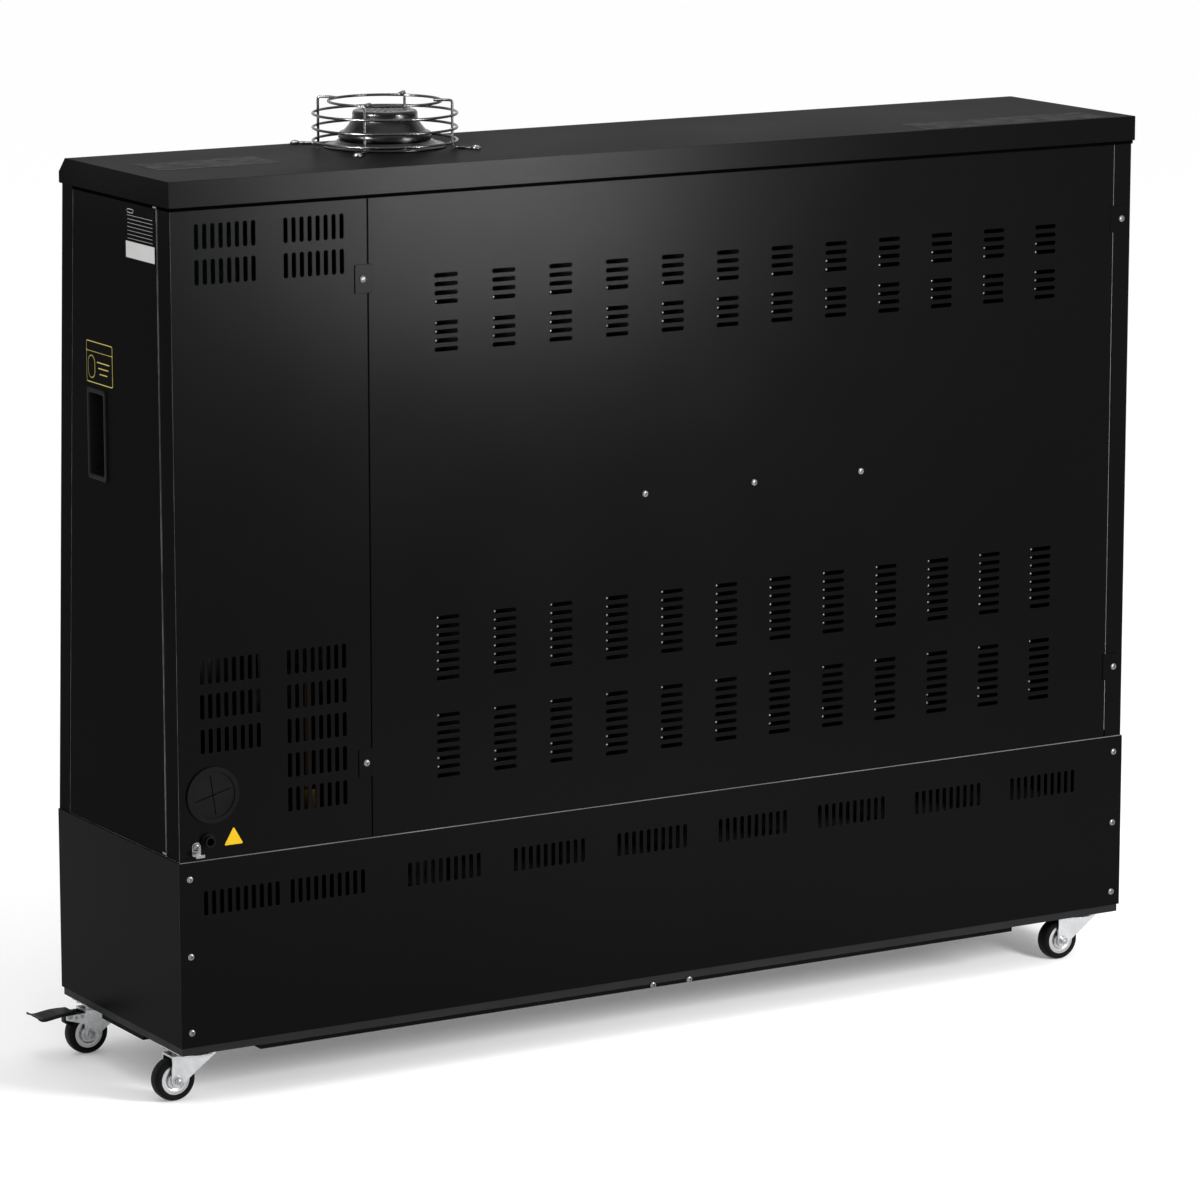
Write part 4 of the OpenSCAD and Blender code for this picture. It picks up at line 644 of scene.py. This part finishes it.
def pedals():
    """Pressed brake levers, each with grip ribs, a hub and a brake shoe."""
    # The tread turns up at its tip, and its side edges are rolled down
    spine = [(44, 51.4), (50, 51.55), (58, 51.5), (64, 51.2), (72, 50.2), (80, 49.1), (85, 49.2),
             (88.5, 50.4), (90.3, 51.9)]
    path = curve_through(spine, 3)
    full_half, half_thick, roll = 17.0, 0.75, 1.1
    # Shares of the full width at the root, and of the length where the tip starts to narrow
    root_share, tip_share, tip_taper = 0.86, 0.9, 6.0
    ribs, rib_x, rib_pitch, rib_half, rib_radius = 6, 64, 3.4, 12, 0.75
    # Height of the first rib's middle, and how much lower the others lie for each mm further out
    rib_z, rib_fall = 51.9, 0.13
    for side, sx in SIDES.items():
        swivel = CENTRE + Vector((sx * CASTER_X, -CASTER_Y, 0))
        bm = bmesh.new()
        rows = []
        for i, (x, z) in enumerate(path):
            t = i / (len(path) - 1)
            widening = math.sin(min(1.0, t * 2.2) * math.pi / 2)
            half = full_half * (root_share + (1 - root_share) * widening)
            if t >= tip_share:
                half *= 1.0 - tip_taper * (t - tip_share) ** 2
            line = []
            for k in range(13):
                y = -half + 2 * half * k / 12
                line.append((y, z - roll * max(0.0, (abs(y) / half - 0.8) / 0.2) ** 2))
            ring = [(y, h + half_thick) for y, h in line] + [(y, h - half_thick) for y, h in reversed(line)]
            rows.append([swivel + Vector((x, y, h)) * MM for y, h in ring])
        loft(bm, rows, caps=True)
        for i in range(ribs):
            x = rib_x + i * rib_pitch
            z = rib_z - (x - rib_x) * rib_fall
            ends = [swivel + Vector((x, y, z)) * MM for y in (-rib_half, rib_half)]
            tube(bm, ends, rib_radius * MM, 8)
        hub = swivel + Vector((BRAKE_PIN_X, 0, BRAKE_PIN_Z)) * MM
        hub_wall = [(2.56, -10.1), (3.8, -10.1), (4.2, -9.7), (4.2, 9.7), (3.8, 10.1), (2.56, 10.1)]
        spun(bm, hub_wall, hub, "Y", 32, closed=True)
        # The shoe: an arm that points down at the tread, with a round end and softened sides
        lean = math.radians(262.2)
        way = Vector((math.cos(lean), 0, math.sin(lean)))
        across = Vector((-way.z, 0, way.x))
        rows = []
        for y in (-7.5, -7.0, 7.0, 7.5):
            grow = 0.8 if abs(y) > 7.2 else 1.0
            arcs = [math.radians(90 - 180 * k / 8) for k in range(9)]
            ring = [across * 2 * grow + way * 3]
            ring += [way * (8.5 + 3 * grow * math.cos(a)) + across * 3 * grow * math.sin(a) for a in arcs]
            ring += [way * 3 - across * 2 * grow]
            rows.append([hub + (p + Vector((0, y, 0))) * MM for p in ring])
        loft(bm, rows, caps=True)
        face_outwards(bm)
        obj = new_piece("pressed_pedal_" + side, bm, "black_plastic", "pedal_" + side,
                        angle=45)
        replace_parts(obj, "brake_pedal_" + side)


wheels()
fork_details()
pedals()


# Flue

def flue_dish():
    rim = [(52.4, 7.9), (54.5, 6.2), (57.5, 4.6), (62, 3.6), (65.5, 2.9), (67.2, 1.9), (67.5, 0.9),
           (66.9, 0.1)]
    profile = [(35.3, 0.4), (35.3, 8.0), (44, 8.0)] + curve_through(rim, 4)
    bm = bmesh.new()
    spun(bm, profile, CENTRE + FLUE, count=128, closed=True)
    face_outwards(bm)
    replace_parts(new_piece("spun_dish", bm, "stainless", angle=50), "flue_dish")


def flue_head():
    """Bell with a flat top; nine slots with round ends are cut through the top."""
    foot = CENTRE + FLUE + Vector((0, 0, 8 * MM))
    wall, roof_z = 1.2, 26
    outline = [(50.6, 0), (51.4, 1.2), (51.5, 3.8), (51.2, 6.8), (49.8, 8.6), (47.0, 9.6), (44.8, 11.2),
               (42.2, 14.2), (39.6, 17.6), (37.6, 21.0), (36.5, 24.0), (36.1, 27.0), (36.0, 29.4),
               (35.0, 31.6), (32.4, 32.8), (26, 33.1), (12, 33.2), (0.05, 33.2)]
    outer = curve_through(outline, 4)
    inner = [(max(0.05, r - wall), h - wall if h > roof_z else h) for r, h in reversed(outer)]
    bm = bmesh.new()
    spun(bm, outer + inner, foot, count=128, closed=True)
    bmesh.ops.remove_doubles(bm, verts=bm.verts, dist=2e-5)
    face_outwards(bm)
    obj = new_piece("spun_head", bm, "stainless", angle=50)
    slots, pitch, slot_w, reach = 9, 6, 3, 29
    along, back = Vector((1, 0, 0)), Vector((0, 1, 0))
    cutter = bmesh.new()
    for i in range(slots):
        x = (i - (slots - 1) / 2) * pitch
        half = math.sqrt(reach ** 2 - x * x)
        rounded_plate(cutter, foot + Vector((x, 0, roof_z)) * MM, along, back, slot_w, 2 * half, 1.49, 14)
    cut_from(obj, cutter)
    obj.data.set_sharp_from_angle(angle=math.radians(50))
    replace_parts(obj, "flue_cap")


def flue_cage():
    """Three rings, a smaller one on top, and four wires that bend in over it and out to their feet."""
    base = CENTRE + FLUE
    wire = 1.5 * MM
    eye = [(2.3, 0.1), (5.2, 0.1), (5.5, 0.5), (5.5, 1.6), (5.2, 2), (2.3, 2)]
    bm = bmesh.new()
    for radius, z in ((79.5, 7), (79.5, 21.5), (79.5, 37), (62.3, 50.4)):
        angles = [2 * math.pi * k / 96 for k in range(96)]
        path = [base + Vector((radius * math.cos(a), radius * math.sin(a), z)) * MM for a in angles]
        tube(bm, path, wire, closed=True)
    for degrees in QUARTERS:
        way = Vector((math.cos(math.radians(degrees)), math.sin(math.radians(degrees)), 0))
        points = [base + (way * r + Vector((0, 0, z))) * MM
                  for r, z in ((56, 52.4), (64, 53), (77, 53), (77, 1.5), (101, 1.5))]
        tube(bm, rounded_path(points, 3.5 * MM), wire)
        spun(bm, eye, base + way * CAGE_FOOT, count=32, closed=True)
    face_outwards(bm)
    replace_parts(new_piece("welded_cage", bm, "wire"), "flue_cage")


flue_dish()
flue_head()
flue_cage()


# Handles: pocket grips with a rounded rim

def handles():
    # Outlines from the back of the cup, over its rim, to the cup's floor: width, height, distance out
    # of the panel, and corner radius
    loops = [(38.4, 93.4, -24.0, 3.0), (38.4, 93.4, 0.0, 3.0), (45, 100, 0.0, 4.0), (45, 100, 0.9, 4.0),
             (44.2, 99.2, 1.5, 3.7), (42.8, 97.8, 1.6, 3.4), (37.2, 92.2, 1.6, 3.2), (35.2, 90.2, 1.3, 3.0),
             (34.4, 89.4, 0.5, 2.8), (32.8, 87.8, -19.5, 2.6), (31.2, 86.2, -21.4, 2.2),
             (28, 83, -22.0, 1.6)]
    for side, s in SIDES.items():
        at = CENTRE + Vector((s * BODY_HALF, HANDLE_Y, HANDLE_Z))
        bm = bmesh.new()
        loft(bm, [[at + Vector((s * out, y, z)) * MM for y, z in rounded_outline(width, height, radius)]
                  for width, height, out, radius in loops], caps=True)
        face_outwards(bm)
        obj = new_piece("pocket_grip_" + side, bm, "black_plastic", angle=50)
        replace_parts(obj, "handle_" + side)


handles()


# Blank plates where labels sit, and the bright clips at the ends of a seam

# Thickness of a film in mm; one on another starts a step higher, so that their faces don't meet
FILM_THICK = 0.18
FILM_STEP = 0.19


def plates():
    along, back, up = Vector((1, 0, 0)), Vector((0, 1, 0)), Vector((0, 0, 1))
    # Name, middle across and up the machine's end, width, height, finish, corner radius, films below
    films = [("rating_plate", 78, 942.2, 70, 55.6, "film_black", 1.0, 0),
             ("rating_plate_strip", 78, 923.8, 68.6, 17.6, "film_white", 0.4, 1)]
    films += [("rating_plate_rule_%d" % i, 78, 960.5 - i * 4.1, 60, 0.4, "film_line", 0.15, 1)
              for i in range(7)]
    films += [("rating_plate_tab", 55, 965.3, 15, 4.4, "film_line", 2.1, 1),
              ("rating_plate_tab_field", 55, 965.3, 13.6, 3.0, "film_black", 1.4, 2),
              ("notice_plate", -27, 790.4, 64, 45.5, "film_yellow", 2.5, 0),
              ("notice_plate_head", -27, 807.3, 62.4, 9.8, "film_black", 1.6, 1),
              ("notice_plate_field", -27, 785.2, 62.4, 33.0, "film_black", 1.6, 1),
              ("notice_plate_oval", -46, 785.3, 17, 25, "film_yellow", 8.4, 2),
              ("notice_plate_oval_field", -46, 785.3, 15.4, 23.4, "film_black", 7.6, 3)]
    films += [("notice_plate_rule_%d" % i, -17, 791.5 - i * 6.2, 31 - 6 * i, 1.1, "film_yellow", 0.5, 2)
              for i in range(3)]
    for name, y, z, width, height, finish, radius, below in films:
        bm = bmesh.new()
        middle = CENTRE + Vector((BODY_HALF + below * FILM_STEP * MM, y * MM, z * MM))
        rounded_plate(bm, middle, back, up, width, height, radius, FILM_THICK)
        new_piece(name, bm, finish)

    # Triangle place beside the cord entry
    bm = bmesh.new()
    middle = CENTRE + Vector((553.5 * MM, BODY_BACK, 294 * MM))
    corners = [Vector((0, 0, 12.2)), Vector((-11.4, 0, -7.4)), Vector((11.4, 0, -7.4))]
    outline = []
    for i, c in enumerate(corners):
        before, after = corners[i - 1], corners[(i + 1) % 3]
        outline += bend(c + (before - c).normalized() * 2.2, c, c + (after - c).normalized() * 2.2, 4)
    loft(bm, [[middle + (p + back * h) * MM for p in outline] for h in (0.0, FILM_THICK)], caps=True)
    face_outwards(bm)
    new_piece("triangle_plate", bm, "film_amber")

    # Patches on the lid
    patches = (("lid_patch_near", 512, 24, 146, 68), ("lid_patch_far", -462, 117, 252, 62))
    for name, x, y, width, depth in patches:
        bm = bmesh.new()
        middle = CENTRE + Vector((x * MM, y * MM, LID_TOP))
        rounded_plate(bm, middle, along, back, width, depth, 2, FILM_THICK)
        new_piece(name, bm, "film_lid")


def seam_clips():
    bm = bmesh.new()
    for z in (975.5, 277.5):
        at = CENTRE + Vector((BODY_HALF, BODY_BACK - 34 * MM, z * MM))
        block(bm, at + Vector((-0.5, -4.5, -1.1)) * MM, at + Vector((1.35, 4.5, 1.1)) * MM)
    obj = new_piece("seam_clips", bm, "screw")
    soft = obj.modifiers.new("soft_edges", "BEVEL")
    soft.width = 0.4 * MM
    soft.segments = 2
    soft.limit_method = "ANGLE"
    soft.angle_limit = math.radians(35)


plates()
seam_clips()


# Folded sheets in two finishes: satin, and on the roof and the ends a less reflecting copy of the coat,
# painted shade

def two_finishes(node, name, other, inset):
    """The solid's own shape, satin where it faces the rear or the front, and in another finish where it
    faces another way and lies less than inset from the end. That other finish reflects far less: painted
    shade."""
    source = nodes[node]
    bm = bmesh.new()
    bm.from_mesh(source.data)
    bmesh.ops.transform(bm, matrix=source.matrix_world, verts=bm.verts)
    for face in bm.faces:
        near_end = abs(face.calc_center_median().x - CENTRE.x) > BODY_HALF - inset
        face.material_index = 1 if near_end and abs(face.normal.y) <= 0.7 else 0
    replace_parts(new_piece(name, bm, ("coat", other), angle=30), node)


# The whole lid is within its inset
two_finishes("lid", "lid_sheet", "coat_matt", 1)
two_finishes("machine_rear_panel", "machine_panel_sheet", "coat_edge", 3 * MM)
two_finishes("rear_corner_post", "corner_post_sheet", "coat_edge", 3 * MM)
two_finishes("front_frame", "front_frame_sheet", "coat_matt", 3 * MM)


# Lines on the body: a painted shadow under the lid's rim, and a painted highlight along the base's top edge

def lid_gap_shadow():
    # A black strip under the lid's rim: painted shadow of the gap there
    inner_x, inner_y = BODY_HALF, BODY_BACK
    outer_x, outer_y = inner_x + 1.3 * MM, inner_y + 1.3 * MM
    front = -85 * MM
    outline = [(-outer_x, front), (-outer_x, outer_y), (outer_x, outer_y), (outer_x, front),
               (inner_x, front), (inner_x, inner_y), (-inner_x, inner_y), (-inner_x, front)]
    bm = bmesh.new()
    loft(bm, [[CENTRE + Vector((x, y, z * MM)) for x, y in outline] for z in (974, 978)], caps=True)
    face_outwards(bm)
    new_piece("lid_gap_shadow", bm, "gap_foam")


def base_lip():
    # A lighter strip along the top edge of the base's rear, where its ledge would catch the light: painted
    # highlight
    bm = bmesh.new()
    block(bm, CENTRE + Vector((MM - BASE_HALF, BASE_BACK - 1.2 * MM, BASE_TOP)),
          CENTRE + Vector((BASE_HALF - MM, BASE_BACK, BASE_TOP + 0.8 * MM)))
    new_piece("base_lip", bm, "worn_lip")


lid_gap_shadow()
base_lip()


# Camera at the photograph's viewing angle

PICTURE_SIDE = 1200
FOCAL_PIXELS = 5549
SENSOR = 36


def camera():
    data = bpy.data.cameras.new("camera")
    data.sensor_width = SENSOR
    data.lens = FOCAL_PIXELS / PICTURE_SIDE * SENSOR
    data.clip_start = 0.1
    data.clip_end = 60
    obj = bpy.data.objects.new("camera", data)
    bpy.context.scene.collection.objects.link(obj)
    yaw, pitch = math.radians(30.66), math.radians(11.23)
    look = Vector((-math.sin(yaw) * math.cos(pitch), -math.cos(yaw) * math.cos(pitch), -math.sin(pitch)))
    obj.location = (3.145, 5.348, 1.706)
    obj.rotation_mode = "QUATERNION"
    obj.rotation_quaternion = look.to_track_quat("-Z", "Y")
    bpy.context.scene.camera = obj


camera()
bpy.context.scene.view_settings.view_transform = "Standard"


# Floor, backdrop and lamps

# Part of white that the floor adds for whoever looks at it, over its own light and shadow
FLOOR_WHITE = 0.17
# Strength of the world for the light that it gives, where 1 is what shows behind the object
WORLD_LIGHT = 0.95
# Name, place, aim, width, height, watts and beam angle. The last two light little but the flue, for the
# paired highlights on its metal.
LAMPS = (
    ("overhead", (0.0, 0.6, 3.6), (0, 0, 0.4), 3.2, 2.2, 25, 180),
    ("key", (-0.66, 1.75, 0.92), (0.1, 0.0, 0.95), 0.5, 0.6, 46, 180),
    ("flue_left", (2.1, 0.45, 1.75), (0.242, -0.013, 1.05), 0.3, 0.25, 2.2, 8),
    ("flue_right", (-0.5, 1.75, 1.5), (0.242, -0.013, 1.03), 0.3, 0.5, 0.9, 8),
)


def seen_directly(owner):
    """1 for the camera and for reflections, 0 for the light that a surface sends on."""
    ray = add(owner, "ShaderNodeLightPath")
    seen = add(owner, "ShaderNodeMath", operation="MAXIMUM")
    join(owner, ray.outputs["Is Camera Ray"], seen.inputs[0])
    join(owner, ray.outputs["Is Glossy Ray"], seen.inputs[1])
    return seen.outputs[0]


def floor():
    bm = bmesh.new()
    bmesh.ops.create_grid(bm, x_segments=1, y_segments=1, size=14)
    obj = mesh_object("floor", bm)
    mat, bsdf = shader("pale_floor", (0.86, 0.86, 0.86), 0.9, spec=0.0)
    glow = add(mat, "ShaderNodeEmission")
    glow.inputs["Color"].default_value = (1, 1, 1, 1)
    part = add(mat, "ShaderNodeMath", operation="MULTIPLY")
    join(mat, seen_directly(mat), part.inputs[0])
    part.inputs[1].default_value = FLOOR_WHITE
    join(mat, part.outputs[0], glow.inputs["Strength"])
    both = add(mat, "ShaderNodeAddShader")
    join(mat, bsdf.outputs[0], both.inputs[0])
    join(mat, glow.outputs[0], both.inputs[1])
    join(mat, both.outputs[0], mat.node_tree.nodes["Material Output"].inputs["Surface"])
    obj.data.materials.append(mat)


def backdrop():
    world = bpy.data.worlds.new("world")
    bpy.context.scene.world = world
    world.use_nodes = True
    background = world.node_tree.nodes["Background"]
    background.inputs["Color"].default_value = (1, 1, 1, 1)
    strength = remap(world, seen_directly(world), WORLD_LIGHT, 1.0, 0.0, 1.0)
    join(world, strength, background.inputs["Strength"])


def lamps():
    for name, at, towards, width, height, watts, beam in LAMPS:
        data = bpy.data.lights.new(name, "AREA")
        data.shape = "RECTANGLE"
        data.size = width
        data.size_y = height
        data.energy = watts
        data.spread = math.radians(beam)
        obj = bpy.data.objects.new(name, data)
        bpy.context.scene.collection.objects.link(obj)
        obj.location = at
        obj.rotation_mode = "QUATERNION"
        obj.rotation_quaternion = (Vector(towards) - Vector(at)).to_track_quat("-Z", "Y")
        obj.visible_camera = False


floor()
backdrop()
lamps()
